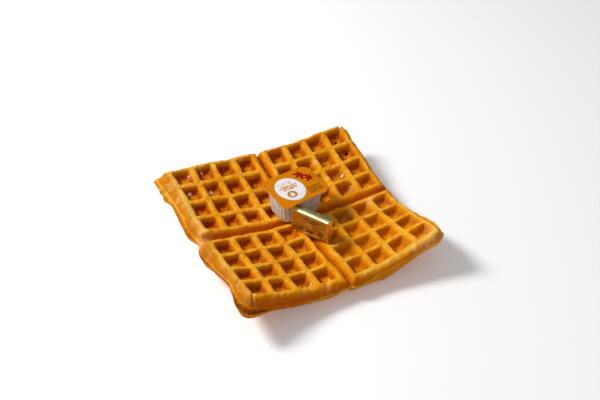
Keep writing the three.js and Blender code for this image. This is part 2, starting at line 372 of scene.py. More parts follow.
def sides_of(verts):
    """The verts on each of the four sides, with the way that the side faces."""
    for axis in (0, 1):
        for end, way in ((min, -1), (max, 1)):
            limit = end(v.co[axis] for v in verts)
            yield axis, way, [v for v in verts if abs(v.co[axis] - limit) < TINY]


def move_out(form, verts, by):
    for axis, way, side in sides_of(verts):
        step = Vector()
        step[axis] = way * by
        bmesh.ops.translate(form, verts=side, vec=step)


def open_edges(form):
    return [edge for edge in form.edges if edge.is_boundary]


def new_row(form, rim):
    """Extrudes an open rim and gives the new row's points, which still lie on the old ones."""
    grown = bmesh.ops.extrude_edge_only(form, edges=rim)["geom"]
    return [part for part in grown if isinstance(part, bmesh.types.BMVert)]


height, reach = HALF, 0.0
for row_height, row_reach in WALL_ROWS:
    row = new_row(waffle_form, open_edges(waffle_form))
    factor = row_height * MM / height
    bmesh.ops.scale(waffle_form, verts=row, vec=(1, 1, factor))
    move_out(waffle_form, row, row_reach * MM - reach)
    height, reach = max(row_height * MM, TINY), row_reach * MM

everything = list(waffle_form.verts) + list(waffle_form.edges) + list(waffle_form.faces)
bmesh.ops.mirror(
    waffle_form, geom=everything, matrix=Matrix.Identity(4), merge_dist=TINY * 10, axis="Z"
)
bmesh.ops.recalc_face_normals(waffle_form, faces=waffle_form.faces)
print("wall rows:", len(WALL_ROWS), "faces with the lower half:", len(waffle_form.faces))

# %% [markdown]
# The lower half reaches further out than the upper one by a step that differs from side to side.
# The seams run out through the wall, so it is notched where they end, and the corners are pulled in.

# %% Step the lower half out and notch the seams' ends
LOWER_STEP = ((2.8, 2.2), (2.2, 1.4))     # mm: low and high end, along x and y
SEAM_NOTCH = 2.5 * MM
CORNER_PULL = 1.2 * MM

outer = {axis: (places[axis][0], places[axis][-1]) for axis in (0, 1)}


def beyond(point):
    """How far a point lies outside the outermost ribs, along x and along y."""
    over = []
    for axis in (0, 1):
        low, high = outer[axis]
        over.append(max(point[axis] - high, low - point[axis]))
    return over


wall = [v for v in waffle_form.verts if max(beyond(v.co)) > -TINY]
for corner in wall:
    at_seam = min(abs(corner.co.x), abs(corner.co.y)) < TINY
    over = beyond(corner.co)
    for axis in (0, 1):
        if over[axis] > -TINY:
            way = math.copysign(1, corner.co[axis])
            pulled = CORNER_PULL if min(over) > -TINY else SEAM_NOTCH if at_seam else 0
            stepped = LOWER_STEP[axis][way > 0] * MM if corner.co.z < -TINY else 0
            corner.co[axis] += way * (stepped - pulled)
print("closed:", all(edge.is_manifold for edge in waffle_form.edges))

# %% [markdown]
# Batter has no sharp edges. A Subdivision Surface rounds everything, and the result is kept as a
# plain mesh, so that it can be shaped further. Creases keep two kinds of edge narrow, where a
# smooth curve would swallow them: the parting line's lip, and the corners of each pocket. The
# longest edges on the upper side, which run along the ribs, are split once more at the end.

# %% Round the edges and subdivide
LIP_CREASE = 0.6
CORNER_CREASE = 0.6
LONGEST = 2.2 * MM
ROUNDING_LEVELS = 2

crease = waffle_form.edges.layers.float.new("crease_edge")
for edge in waffle_form.edges:
    offs = [[abs(pocket_step(v.co[axis], axis)[1]) for axis in (0, 1)] for v in edge.verts]
    if all(abs(v.co.z) < 2 * TINY for v in edge.verts):
        edge[crease] = LIP_CREASE
    elif all(abs(off_x - off_y) < TINY and off_x > TINY for off_x, off_y in offs):
        edge[crease] = CORNER_CREASE


def new_object(name, form, replaces):
    """A smooth-shaded object of a bmesh, which rides on the one body of this model."""
    made = linked_object(name, form)
    made.data.shade_smooth()
    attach(made, "root")
    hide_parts(replaces)
    return made


def subdivide(thing, levels):
    """Subdivides an object's mesh smoothly and keeps the result as its own mesh."""
    modifier = thing.modifiers.new("smooth", "SUBSURF")
    modifier.levels = modifier.render_levels = levels
    graph = bpy.context.evaluated_depsgraph_get()
    thing.data = bpy.data.meshes.new_from_object(thing.evaluated_get(graph))
    thing.modifiers.clear()


def ngons(form):
    return [face for face in form.faces if len(face.verts) > 4]


def split_long_edges(form, longest, wanted=lambda edge: True):
    """Halves each wanted edge that is too long, and says how many there were."""
    long_edges = [e for e in form.edges if e.calc_length() > longest and wanted(e)]
    bmesh.ops.subdivide_edges(form, edges=long_edges, cuts=1, use_grid_fill=True)
    bmesh.ops.triangulate(form, faces=ngons(form))
    return len(long_edges)


waffle = new_object("baked_waffle", waffle_form, "waffle")
subdivide(waffle, ROUNDING_LEVELS)
was = len(waffle.data.polygons)
fine_form = bmesh.new()
fine_form.from_mesh(waffle.data)
split = split_long_edges(fine_form, LONGEST, lambda edge: edge.verts[0].co.z > -TINY)
fine_form.to_mesh(waffle.data)
fine_form.free()
print("faces:", was, "edges split:", split, "faces now:", len(waffle.data.polygons))

# %% [markdown]
# ## The waffle: as it came out of the iron
# A pressed grid that is exactly even looks like plastic. The real one has pockets that differ in
# depth and place, ribs that wander, and batter that ran out or fell short. All of this moves
# points that are there already, so it is done on arrays of coordinates, with smooth noise from
# `mathutils.noise` and a repeatable spread of numbers for what differs from pocket to pocket.

# %% Tools for moving points
SPREAD_TURN, SPREAD_START, SPREAD_SCALE = 12.9898, 4.1, 43758.5453    # a sine too fast to follow
SHIFTS = {         # where each use reads the noise, so that no two of them look alike
    "ribs": (3.1, 7.7), "heights": 11.3, "walls": 21.7, "ribbon": 31.3, "foil": (5.3, 8.3, 11.3),
}


def rows_of(many, name):
    """What each point or normal of a mesh says, as rows of three numbers."""
    numbers = np.empty(len(many) * 3)
    many.foreach_get(name, numbers)
    return numbers.reshape(-1, 3)


def put_points(thing, points):
    thing.data.vertices.foreach_set("co", points.ravel())
    thing.data.update()


def keep_attribute(thing, name, values):
    made = thing.data.attributes.new(name, "FLOAT", "POINT")
    made.data.foreach_set("value", values.astype(np.float32))


def spread(number):
    """A repeatable number from -1 to 1 for each whole number."""
    wave = np.sin(number * SPREAD_TURN + SPREAD_START) * SPREAD_SCALE
    return 2 * (wave - np.floor(wave)) - 1


def rough(points, size, shift=0.0):
    """Smooth noise from about -1 to 1, with bumps about size wide."""
    away = Vector((shift, shift, shift))
    return np.array([noise.noise(Vector(point) / size + away) for point in points])


def ramp(values, low, high):
    """0 at low, 1 at high, with a smooth start and end."""
    share = np.clip((values - low) / (high - low), 0, 1)
    return share * share * (3 - 2 * share)


def near(points, x, y, size):
    """1 at a place seen from above, fading away over size. All in millimetres but the points."""
    away = np.hypot(points[:, 0] / MM - x, points[:, 1] / MM - y) / size
    return np.exp(-away * away)


def band(heights, middle, half_width):
    """1 at one height, fading away above and below it."""
    return np.exp(-(((heights - middle) / half_width) ** 2))


print("noise at a point:", round(float(rough(np.array([[0.3, 0.2, 0.1]]), 1.0)[0]), 3))

# %% Measure where each point lies in the grid
POCKET_RIM = (1.08, 0.9)              # of half a mouth: still on a rib, well inside a pocket
OVER_CREST = (-1 * MM, 1 * MM)        # from the outermost ribs' crest, out on to the wall
BORDER = (-7 * MM, -1 * MM)           # the same way, across the border inside that crest
LOW_SIDE = (-0.3 * MM, -2.5 * MM)     # down from the parting line
GROOVE_DEEP = (0.03, 0.6)             # in pocket depths
FLAP_AT, FLAP_HALF = -2 * MM, 1.8 * MM
LIP_AT, LIP_HALF = 0, 0.9 * MM
WALL_START = 1.1                      # less the height in half thicknesses: how far down the wall
LOW_WALL = (7 * MM, 0)

flat = rows_of(waffle.data.vertices, "co")
flat_z = flat[:, 2]
across_x, off_x = pocket_step(flat[:, 0], 0)
across_y, off_y = pocket_step(flat[:, 1], 1)
pocket_column = POCKETS + across_x * np.sign(flat[:, 0])
pocket_row = POCKETS + across_y * np.sign(flat[:, 1])
pocket_id = 2 * POCKETS * pocket_column + pocket_row
off_middle = np.maximum(np.abs(off_x), np.abs(off_y)) / (POCKET_MOUTH / 2)
depth = (HALF - np.abs(flat_z)) / pocket_depth
outside_x = np.maximum(flat[:, 0] - outer[0][1], outer[0][0] - flat[:, 0])
outside_y = np.maximum(flat[:, 1] - outer[1][1], outer[1][0] - flat[:, 1])
outside = np.maximum(outside_x, outside_y)

in_pocket = ramp(off_middle, *POCKET_RIM)
pit = in_pocket * np.clip(depth, 0, 1)
on_wall = ramp(outside, *OVER_CREST)
low_border = ramp(outside, *BORDER) * ramp(flat_z, *LOW_SIDE)
flap_line = on_wall * band(flat_z, FLAP_AT, FLAP_HALF)
groove = (1 - in_pocket) * (1 - on_wall) * ramp(depth, *GROOVE_DEEP)
lip_line = on_wall * band(flat_z, LIP_AT, LIP_HALF)
down_wall = on_wall * np.clip(WALL_START - flat_z / HALF, 0, 1)
low_wall = on_wall * ramp(flat_z, *LOW_WALL)
print("deepest pocket share:", round(float(pit.max()), 2))

# %% [markdown]
# Each pocket of the iron fills a little differently. A rule draws numbers for each pocket from its
# place in the grid: two shift its floor, two widen or narrow its mouth and one changes its depth.
# The change is whole inside the pocket and fades out on the ribs around it.

# %% Make each pocket a little different
POCKET_SHIFT = 0.75 * MM
POCKET_SPREAD = 0.09
MOUTH_SPREAD = 0.045
POCKET_HOLD = (1.25, 0.6)             # in half mouths: where a point stays, where it moves fully

hold = ramp(off_middle, *POCKET_HOLD)
points = flat.copy()
points[:, 0] += hold * (spread(pocket_id + 1) * POCKET_SHIFT * depth.clip(0, 1)
                        + off_x * spread(pocket_id + 3) * MOUTH_SPREAD)
points[:, 1] += hold * (spread(pocket_id + 2) * POCKET_SHIFT * depth.clip(0, 1)
                        + off_y * spread(pocket_id + 5) * MOUTH_SPREAD)
points[:, 2] -= np.sign(flat_z) * pit * spread(pocket_id) * POCKET_SPREAD * pocket_depth
print("shift of the pocket floors:", POCKET_SHIFT / MM, "mm at most")

# %% Let the ribs wander and the skin be uneven
WANDER = ((15 * MM, 1.1 * MM), (5 * MM, 0.4 * MM))          # size of the bumps, how far they move
HEIGHT = ((13 * MM, 1.0 * MM), (4.5 * MM, 0.56 * MM), (1.7 * MM, 0.18 * MM))

upper_share = ramp(flat_z, -HALF, 0)
for axis, shift in enumerate(SHIFTS["ribs"]):
    for size, amount in WANDER:
        points[:, axis] += upper_share * amount * rough(flat, size, shift)
for size, amount in HEIGHT:
    points[:, 2] += upper_share * amount * rough(flat, size, SHIFTS["heights"])
print("points moved by at most:", round(float(np.abs(points - flat).max() / MM), 2), "mm")

# %% [markdown]
# Where the two halves of the iron met, batter ran out or fell short. The lists below are places on
# the plan, each with its width and how far it moves. `STRETCHED` moves a whole corner or border.
# `BULGES` swells the lower half only, as at the front left corner. `PULLED` draws the low part of
# the wall in or up. `FLASH` draws out a thin ribbon just below the parting line, and `FINS` a thin
# rim on it. `SHORTS` are where the lower half was not filled, so that it is thin there. The walls
# get a slow wave as well, because batter that runs out is never straight.

# %% List where batter ran out or fell short
STRETCHED = (
    (-99, 99, 17, (-4.6, 0.8, -0.8)), (99, -99, 15, (-2, 0, 0.5)), (-92, -94, 12, (0.4, -1.5, 0)),
    (86, -86, 9, (2.0, -0.8, 0)), (-50, 99, 45, (0, 2.5, 0.7)), (52, 99, 28, (0, -0.4, 0)),
    (98, 50, 40, (1.8, 0, 0)),
)
FLASH = (
    (-98, 97, 7, (-6.5, 2.5, -1)), (-98, 84, 7, (-7.5, 0, -3.5)), (-98, 73, 7, (-9.5, 0, -6)),
    (97, 95, 8, (1.5, 0, 0)),
)
FINS = ((97, -45, 6, (3.5, 0, 2.4)), (97, -58, 9, (3.5, 0, 2)), (97, -75, 12, (4, 0, 1.5)))
BULGES = (
    (-98, -99, 12, (-6.5, -6.5, -2.5)), (-98, 42, 24, (-3.2, 0, -0.5)), (-98, 20, 8, (-3, 0, -1)),
    (-98, -18, 9, (-3, 0, -1)), (-98, -84, 13, (-2.5, 0, 0)), (55, -99, 28, (0, 0.6, 1.2)),
    (74, -99, 17, (0, 1.4, 2.0)),
)
PULLED = (
    (-98, -57, 17, (5.0, 0, 0)), (8, -99, 22, (0, 1, 2.4)), (-32, -99, 22, (0, 0.6, 1.6)),
    (52, -99, 24, (0, 3.0, 3.6)), (32, -99, 14, (0, 2.4, 4.4)), (-98, 6, 6, (3, 0, 0)),
)
SHORTS = ((6, -99, 14, 0.9), (20, -99, 9, 0.6), (-45, -99, 40, 0.35))
print("places:", sum(map(len, (STRETCHED, FLASH, FINS, BULGES, PULLED, SHORTS))))

# %% Run over and fall short
CORNER = 14 * MM                      # how far from the outer walls' corners the rounding starts
CORNER_ROUND = {(-1, 1): 0.2, (1, 1): 0.2, (-1, -1): 0.35, (1, -1): 0.4}
WALL_WAVE = 0.6 * MM
WALL_WAVE_SIZE = 7 * MM
SHORT_PULL = 2.5 * MM
SHORT_MOST = 0.92                     # the most of its height that the lower half can lack
FLASH_FULL = 10 * MM                  # a ribbon drawn out this far counts as all ribbon
FLASH_WAVE = 3.0 * MM
FLASH_WAVE_SIZE = 4 * MM


def moved(places_moved, points):
    total = np.zeros_like(points)
    for x, y, size, move in places_moved:
        total += near(points, x, y, size)[:, None] * np.array(move) * MM
    return total


flash_share = flap_line * np.linalg.norm(moved(FLASH, flat), axis=1) / FLASH_FULL
near_corner = [(outside_x + CORNER).clip(0), (outside_y + CORNER).clip(0)]
square_reach = np.maximum(*near_corner)
round_reach = np.hypot(*near_corner).clip(TINY)
corner_round = sum(
    share * (np.sign(flat[:, 0]) == side_x) * (np.sign(flat[:, 1]) == side_y)
    for (side_x, side_y), share in CORNER_ROUND.items()
)
rounded = corner_round * (1 - square_reach / round_reach)
for axis in (0, 1):
    points[:, axis] -= np.sign(flat[:, axis]) * rounded * near_corner[axis]
short = sum(share * near(flat, x, y, size) for x, y, size, share in SHORTS).clip(0, SHORT_MOST)
points[:, 2] *= 1 - short * low_border
points[:, 1] += SHORT_PULL * short * low_border
wave = WALL_WAVE * rough(flat, WALL_WAVE_SIZE, SHIFTS["walls"]) * on_wall
points[:, 0] += np.sign(flat[:, 0]) * wave * (outside_x > outside_y)
points[:, 1] += np.sign(flat[:, 1]) * wave * (outside_y > outside_x)
for moves, share in (
    (STRETCHED, np.ones(len(points))), (BULGES, low_border), (PULLED, low_wall), (FLASH, flap_line),
    (FINS, lip_line),
):
    points += moved(moves, flat) * share[:, None]
points[:, 0] += FLASH_WAVE * rough(flat, FLASH_WAVE_SIZE, SHIFTS["ribbon"]) * flash_share
print("widest at the parting line:", round(float(points[:, 0].min()), 4), "m")

# %% [markdown]
# Out of the iron the soft sheet tears a little at its seams, so each quarter turns about its own
# middle, and its edges and corners curl up as they dry. The curl is a height that grows from the
# middle towards each side, with an extra share where two sides meet.

# %% Turn the quarters
QUARTER_TURN = {(-1, 1): -0.3, (1, 1): -0.6, (-1, -1): 2.0, (1, -1): 1.1}     # degrees


def settle(points):
    seam_half = [first_pocket[a] - POCKET_MOUTH / 2 - SEAM_RIB for a in (0, 1)]
    share = [np.clip(0.5 + points[:, a] / (2 * seam_half[a]), 0, 1) for a in (0, 1)]
    reach = (POCKETS - 1) / 2 * PITCH
    settled = points.copy()
    settled[:, :2] = 0
    for (side_x, side_y), degrees in QUARTER_TURN.items():
        part_x = share[0] if side_x > 0 else 1 - share[0]
        part_y = share[1] if side_y > 0 else 1 - share[1]
        middle = (side_x * (first_pocket[0] + reach), side_y * (first_pocket[1] + reach))
        dx, dy = points[:, 0] - middle[0], points[:, 1] - middle[1]
        angle = math.radians(degrees)
        settled[:, 0] += part_x * part_y * (middle[0] + dx * math.cos(angle) - dy * math.sin(angle))
        settled[:, 1] += part_x * part_y * (middle[1] + dx * math.sin(angle) + dy * math.cos(angle))
    return settled


points = settle(points)
print("quarters turned by:", list(QUARTER_TURN.values()), "degrees")

# %% [markdown]
# Drying also opened short creases across the borders, most of them in the front left quarter, from a
# pocket's corner out and down the wall, and a few pockets tore into small holes. A crease is a line on
# the plan with a width and a depth, and points near it sink in against the surface's own direction. A
# hole is a narrow pit whose bottom is painted black: painted shade for the dark inside of a hole,
# through which nothing shows.

# %% Open creases and holes
CREASES = (      # mm: from x, y to x, y; width; depth
    (-89.2, -92.5, -94.2, -104, 0.9, 2.2), (-62.4, -91.0, -65.0, -96, 1.0, 1.9),
    (-65.0, -96, -66.5, -99, 0.9, 1.2), (-41.6, -90.5, -44.8, -99, 1.0, 1.6),
    (-18.3, -92.5, -21.0, -100, 1.0, 1.6), (-92.5, -45.4, -97, -44.8, 0.9, 1.2),
    (-92.5, -72.2, -97, -75.5, 1.0, 2.0), (-68.9, -69.5, -68.5, -73.5, 0.8, 1.3),
    (68.5, -91.0, 66.0, -101, 1.1, 1.2), (-64.0, 94.5, -63.2, 102, 0.8, 0.6),
    (-20.5, 94.5, -19.6, 102, 0.8, 0.6), (90, 90, 97, 99, 1.3, 1.8),
)
HOLES = ((84.6, 85.2, 1.7), (87.0, 66.0, 1.7), (69.0, 23.8, 1.0))      # mm: x, y, radius
HOLE_DEPTH = 2.2 * MM
UPPER_HALF = (-0.5 * MM, 1.5 * MM)


def near_line(points, x1, y1, x2, y2, width):
    start, end = np.array((x1, y1)), np.array((x2, y2))
    along = (points[:, :2] / MM - start) @ (end - start) / ((end - start) @ (end - start))
    nearest = start + np.clip(along, 0, 1)[:, None] * (end - start)
    away = np.linalg.norm(points[:, :2] / MM - nearest, axis=1) / width
    return np.exp(-away * away)


put_points(waffle, points)
facing = rows_of(waffle.data.vertex_normals, "vector")
upper_half = ramp(flat_z, *UPPER_HALF)
torn = np.zeros(len(points))
for *line, width, sunk in CREASES:
    mark = near_line(points, *line, width) * upper_half * (1 - pit)
    points -= facing * (mark * sunk * MM)[:, None]
    torn = np.maximum(torn, mark)
burnt = np.zeros(len(points))
for x, y, radius in HOLES:
    mark = near(points, x, y, radius) * upper_half
    points[:, 2] -= mark * HOLE_DEPTH
    burnt = np.maximum(burnt, mark)
print("creases:", len(CREASES), "holes:", len(HOLES))

# %% [markdown]
# Then the whole sheet curls. The lists say how high each side and each corner comes to lie. Last the
# waffle is set down, and what would be below the floor is flattened against it.

# %% Curl the sheet and set it on its place
CURL_REACH = 99 * MM
CURL_START = 0.2
CURL_POWER = 1.5
EDGE_CURL = {"left": 12.7, "right": 4.8, "back": 15.1, "front": 1}       # mm
CORNER_CURL = {("back", "left"): 21.8, ("back", "right"): 23.5,
               ("front", "left"): 23.8, ("front", "right"): 26.2}
OUTLINE_MIDDLE = Vector((-3.1, -2.5, 0)) * MM


def rise(distance):
    return (np.maximum(0, distance / CURL_REACH - CURL_START) / (1 - CURL_START)) ** CURL_POWER


def curl(points):
    x, y = points[:, 0], points[:, 1]
    side = {"left": rise(-x), "right": rise(x), "front": rise(-y), "back": rise(y)}
    height = sum(EDGE_CURL[name] * share for name, share in side.items())
    for (depth_side, cross_side), corner in CORNER_CURL.items():
        extra = corner - EDGE_CURL[depth_side] - EDGE_CURL[cross_side]
        height = height + extra * side[depth_side] * side[cross_side]
    return height * MM


points[:, 2] += curl(points) + HALF
points -= np.array(OUTLINE_MIDDLE)
lowest = points[:, 2].min()
points[:, 2] = np.maximum(points[:, 2], 0)
put_points(waffle, points)
print("lowest point before it was set down:", round(float(lowest), 5), "m")

# %% [markdown]
# ## The waffle: its crust
# The crust is golden on the ribs, where it only touched the flat of the iron, and deeper orange to
# brown in the pockets, where the iron's pyramids pressed hardest. Part of that deeper orange and brown,
# in the pockets, the seam grooves and on the front walls, is painted shade, and the pockets' floors are
# painted lighter, as painted light where the walls keep the key lamp off. The lower half is browner
# still.
# How deep each point was pressed is known from the modelling, so it is kept as attributes, which the
# material reads beside clouds of noise on Object coordinates. The lists add what no rule gives: crests
# that stayed pale, toasted and scorched places, bare crumb, and painted glints, near-white spots for
# drops of syrup that shine. Some of the pale spots are painted glints as well.
# Crust also lets light through, and light that has passed through it is redder. So the sides that are
# turned away from the key lamp are painted a slightly deeper orange: painted shade, fixed to where this
# scene's key lamp stands.

# %% List where the crust differs
# pale crust, and painted glints where some pockets' walls shine
PALE_AND_GLINT_SPOTS = (       # mm: x, y, radius, strength
    (-63.2, 101.5, 5.0, 0.5), (-77.4, 89.6, 3.5, 0.3), (72.1, -10.4, 4.5, 0.8), (72.2, -25.7, 1.6, 1.0),
    (44.4, -16.1, 4.0, 0.5), (91.4, -19.6, 1.8, 0.9), (90.9, -87.7, 6.0, 0.7),
    (-97, 0, 7.0, 0.8), (-96, 8, 5.0, 0.7), (-94.5, 80, 5, 0.45), (-94.5, 60, 6, 0.45),
    (-94.5, 40, 5, 0.4), (-94.5, 24, 5, 0.45), (96, -99, 9, 0.6), (82, -102, 9, 0.7),
    (50.0, 64.5, 3.0, 0.9), (24.0, 58.0, 3.0, 0.8), (67.0, 18.5, 2.5, 0.8), (20, -12, 7, 0.5),
)
RIB_LIGHT = (      # mm: from x, y to x, y; width, strength
    (-94.3, 92, -94.3, 8, 3.0, 0.9), (-94.3, -14, -94.3, -70, 2.8, 0.7),
    (10.5, -12, 10.5, -92, 2.8, 0.9), (14, -96, 92, -96, 3.0, 0.8), (-92, -80, -95, -97, 4, 0.5),
    (11, 90, 9.5, 12, 2.6, 0.6), (-88, 94.5, -20, 94.5, 2.2, 0.4), (95, -20, 94, -80, 2.8, 0.6),
)
# painted glints: near-white spots painted where drops shine
GLINTS = (         # mm: x, y, radius of drops that shine
    (67.5, 39.5, 1.6), (-31.5, -86.5, 1.0), (-12.0, -84.0, 0.8), (72.2, -25.7, 0.9),
    (-84.2, 68.4, 1.2), (-86.2, 68.0, 1.2), (-64.2, 66.6, 2.0), (-63.4, 92.0, 1.2), (-77.6, 90.5, 1.1),
)
BAKED_LESS = ((58, -55, 62, 0.7), (60, 55, 55, 0.2), (-55, -55, 50, 0.15))
TOASTED = ((-99, 99, 11, 0.9), (97, 97, 8, 0.7), (-98, -62, 18, 0.5), (97, -50, 10, 0.6))
SCORCHED = (
    (-92, -98, 26, 1.0), (-60, -99, 24, 0.9), (-98, 22, 12, 0.85), (-98, -16, 16, 0.9),
    (-98, -50, 26, 0.6),
)
print("places listed:", sum(map(len, (PALE_AND_GLINT_SPOTS, RIB_LIGHT, GLINTS, BAKED_LESS, TOASTED, SCORCHED))))

# %% Keep what the material reads
LOWER_SIDE = (-0.1 * MM, -0.8 * MM)
UNDER_LIP_AT, UNDER_LIP_HALF = -1.7 * MM, 1.0 * MM
LEFT_BORDER = (-5 * MM, -1 * MM)
CHANGE_SIDE = (-1 * MM, 1 * MM)       # where a corner belongs to one side and then to the other
STEEP = (0.94, 0.62)                  # how much a point faces up: level, steep
TURNED_AWAY = (0.62, 0.2)             # how much it faces the key lamp: enough, too little
FLASH_TINT = 2                        # a ribbon's colour comes on twice as fast as the ribbon


def strongest(spots):
    """How much each point feels the spot that it feels most: x, y, radius and strength."""
    felt = np.zeros(len(seam_points))
    for x, y, radius, strength in spots:
        felt = np.maximum(felt, strength * near(seam_points, x, y, radius))
    return felt


seam_points = points + np.array(OUTLINE_MIDDLE)
light = np.zeros(len(points))
for *line, width, strength in RIB_LIGHT:
    light = np.maximum(light, strength * (1 - pit) * near_line(seam_points, *line, width))
lamp_way = np.array(LAMPS["key"]["place"])
to_lamp = facing @ (lamp_way / np.linalg.norm(lamp_way))
more_in_x = outside_x - outside_y
on_left = ramp(outside_x, *LEFT_BORDER) * ramp(more_in_x, *CHANGE_SIDE) * (flat[:, 0] < 0)
for name, values in {
    "pit": pit * upper_half,
    "groove": groove,
    "wall": down_wall,
    "front": ramp(-more_in_x, *CHANGE_SIDE) * (flat[:, 1] < 0),
    "left": on_left,
    "lower": ramp(flat_z, *LOWER_SIDE),
    "lip": lip_line,
    "under_lip": on_wall * band(flat_z, UNDER_LIP_AT, UNDER_LIP_HALF),
    "flash": FLASH_TINT * flash_share,
    "baked": 1 - sum(share * near(seam_points, x, y, size) for x, y, size, share in BAKED_LESS),
    "scorched": strongest(SCORCHED),
    "toasted": strongest(TOASTED) * down_wall,
    "torn": torn,
    "burnt": burnt,
    "steep": upper_half * ramp(facing[:, 2], *STEEP),
    # painted shade: how far each point is turned away from the key lamp
    "painted_lamp_shade_share": upper_half * ramp(to_lamp, *TURNED_AWAY),
    "pale": strongest(PALE_AND_GLINT_SPOTS),
    "light": light,
    "glint": strongest((*spot, 1) for spot in GLINTS),
}.items():
    keep_attribute(waffle, name, values)
print("attributes:", [a.name for a in waffle.data.attributes if a.data_type == "FLOAT"])

# %% [markdown]
# The crust is painted in coats, from the broadest to the smallest. Each line of the list below is a
# mask and a colour. In a mask, `between` says where something starts and where it is full, and a
# plain factor says how strong the coat is. Clouds of noise break every mask up.

# %% Name the crust's colours
GOLD = (0.81, 0.295, 0.002)
PALE_GOLD = (0.85, 0.455, 0.012)
CREAM = (0.89, 0.64, 0.19)
LIGHT_GOLD = (0.80, 0.49, 0.07)
LIT_SIDE_AND_FLAP_ORANGE = (0.50, 0.16, 0.0006)
STREAK = (0.66, 0.46, 0.17)
TOAST = (0.64, 0.18, 0.002)
FLANK = (0.69, 0.245, 0.002)
FLANK_PAINTED_SHADE = (0.74, 0.19, 0.001)
WALL_ORANGE = (0.50, 0.15, 0.001)
WALL_BROWN = (0.40, 0.115, 0.002)
SHADE_ORANGE = (0.53, 0.093, 0.0004)
PIT_ORANGE = (0.68, 0.225, 0.002)
PIT_BROWN = (0.32, 0.026, 0.0002)
FLOOR_ORANGE = (0.82, 0.25, 0.003)
LOWER_ORANGE = (0.72, 0.21, 0.004)
LOWER_BROWN = (0.42, 0.080, 0.003)
UNDER_LIP_BROWN = (0.10, 0.020, 0.001)
CRUMB_AND_GLINT_CREAM = (0.92, 0.66, 0.25)
SPECK = (0.15, 0.05, 0.006)
HOLE_SHADE_BLACK = (0.01, 0.004, 0.002)
GLINT_WHITE = (0.94, 0.76, 0.50)
SKIN_SHINE = 0.02
print("ribs:", GOLD, "pockets:", PIT_BROWN)

# %% Lay out the crust's noise and masks
crust = Finish("baked_crust")
here = crust.place()
broad = crust.cloud(here, 30 * MM, detail=2)
patches = crust.cloud(here, 8 * MM, detail=4, twist=0.4)
skin = crust.cloud(here, 2.2 * MM, detail=4)
grain = crust.cloud(here, 0.8 * MM, detail=2)
streaks = crust.cloud(crust.place(scale=(6, 6, 1)), 1.3 * MM, detail=2)
bubbles = crust.cells(here, 3.2 * MM)
sunken = crust.attribute("pit")
on_floor = sunken.between(0.86, 0.97)
pools = crust.cloud(here, 5 * MM, detail=3).between(0.35, 0.62)
brown_and_shade_share = skin.between(0.0, 0.65) * (1 - on_floor) + pools * on_floor * 0.3
well_baked = crust.attribute("baked")
wall_share = crust.attribute("wall")
left_side = crust.attribute("left")
lower_side = crust.attribute("lower")
ribbon = crust.attribute("flash").between(0.2, 0.7)
flank = crust.attribute("steep")
painted_lamp_shade = crust.attribute("painted_lamp_shade_share")
scorched = crust.attribute("scorched")
crest = 1 - flank
print("nodes for the masks:", len(crust.nodes))

# %% Lay the crust's coats
colour = crust.layers(
    GOLD,
    (patches.between(0.42, 0.7) * crest * 0.8, PALE_GOLD),
    (skin.between(0.54, 0.66) * crest * 0.6, CREAM),
    (broad.between(0.45, 0.75) * 0.5, TOAST),
    (flank * (0.6 + 0.3 * skin), FLANK),
    # painted shade: the sides turned away from the key lamp get a deeper orange
    (painted_lamp_shade * 0.8, FLANK_PAINTED_SHADE),
    (
        wall_share.between(0.15, 0.6) * (0.45 + 0.55 * streaks.between(0.35, 0.55)) * well_baked,
        WALL_ORANGE,
    ),
    (wall_share.between(0.15, 0.75) * crust.attribute("front") * well_baked, SHADE_ORANGE),
    # painted shade: the left side, which faces the key lamp, is painted a darker orange to temper the
    # lamp
    (left_side * 0.85, LIT_SIDE_AND_FLAP_ORANGE),
    (left_side * patches.between(0.52, 0.72) * (0.6 - 0.5 * scorched), STREAK),
    (left_side * wall_share.between(0.25, 0.7) * scorched * 0.8, WALL_BROWN),
    (crust.attribute("groove") * (0.6 + 0.4 * well_baked), SHADE_ORANGE),
    (sunken.between(0.06, 0.35) * (0.8 + 0.2 * skin), PIT_ORANGE),
    # partly the bake, partly painted shade: the pockets' walls darken towards the floor, more on walls
    # turned from the lamp
    (sunken.between(0.2, 0.55) * (brown_and_shade_share + 0.2 * painted_lamp_shade) * well_baked, PIT_BROWN),
    # painted light: the pockets' floors, which the key lamp cannot reach, are painted lighter
    (on_floor * (1 - pools) * 0.7, FLOOR_ORANGE),
    (
        crust.attribute("light") * (1 - 0.6 * flank) * (0.5 + 0.5 * patches.between(0.3, 0.6)),
        LIGHT_GOLD,
    ),
    (crust.attribute("toasted") * streaks.between(0.3, 0.55), TOAST),
    (lower_side * 0.9, LOWER_ORANGE),
    (lower_side * scorched, LOWER_BROWN),
    (lower_side * patches.between(0.45, 0.7) * 0.5, LOWER_BROWN),
    (lower_side * streaks.between(0.5, 0.65) * 0.4, PALE_GOLD),
    # a dark brown band just under the lip, stronger where scorched
    (crust.attribute("under_lip").between(0.3, 0.9) * scorched.most(0.4), UNDER_LIP_BROWN),
    (crust.attribute("lip").between(0.55, 0.85) * (1 - scorched) * 0.6, PALE_GOLD),
    (ribbon * 0.9, LIT_SIDE_AND_FLAP_ORANGE),
    (ribbon * streaks.between(0.45, 0.6) * 0.8, STREAK),
    ((0.16 - bubbles).between(0, 0.05) * patches.between(0.5, 0.6) * 0.8, SPECK),
    (crust.attribute("torn") * 0.35, CRUMB_AND_GLINT_CREAM),
    # pale crust, partly painted glints
    (crust.attribute("pale") * skin.between(0.25, 0.7) * 0.75, CRUMB_AND_GLINT_CREAM),
    (grain.between(0.58, 0.7) * patches.between(0.48, 0.6) * (0.35 - 0.25 * sunken), CRUMB_AND_GLINT_CREAM),
    # painted glints: near-white spots for drops that shine
    (crust.attribute("glint").between(0.3, 0.6) * 0.85, GLINT_WHITE),
    # painted shade: the holes' bottoms are painted black
    (crust.attribute("burnt").between(0.35, 0.6), HOLE_SHADE_BLACK),
)
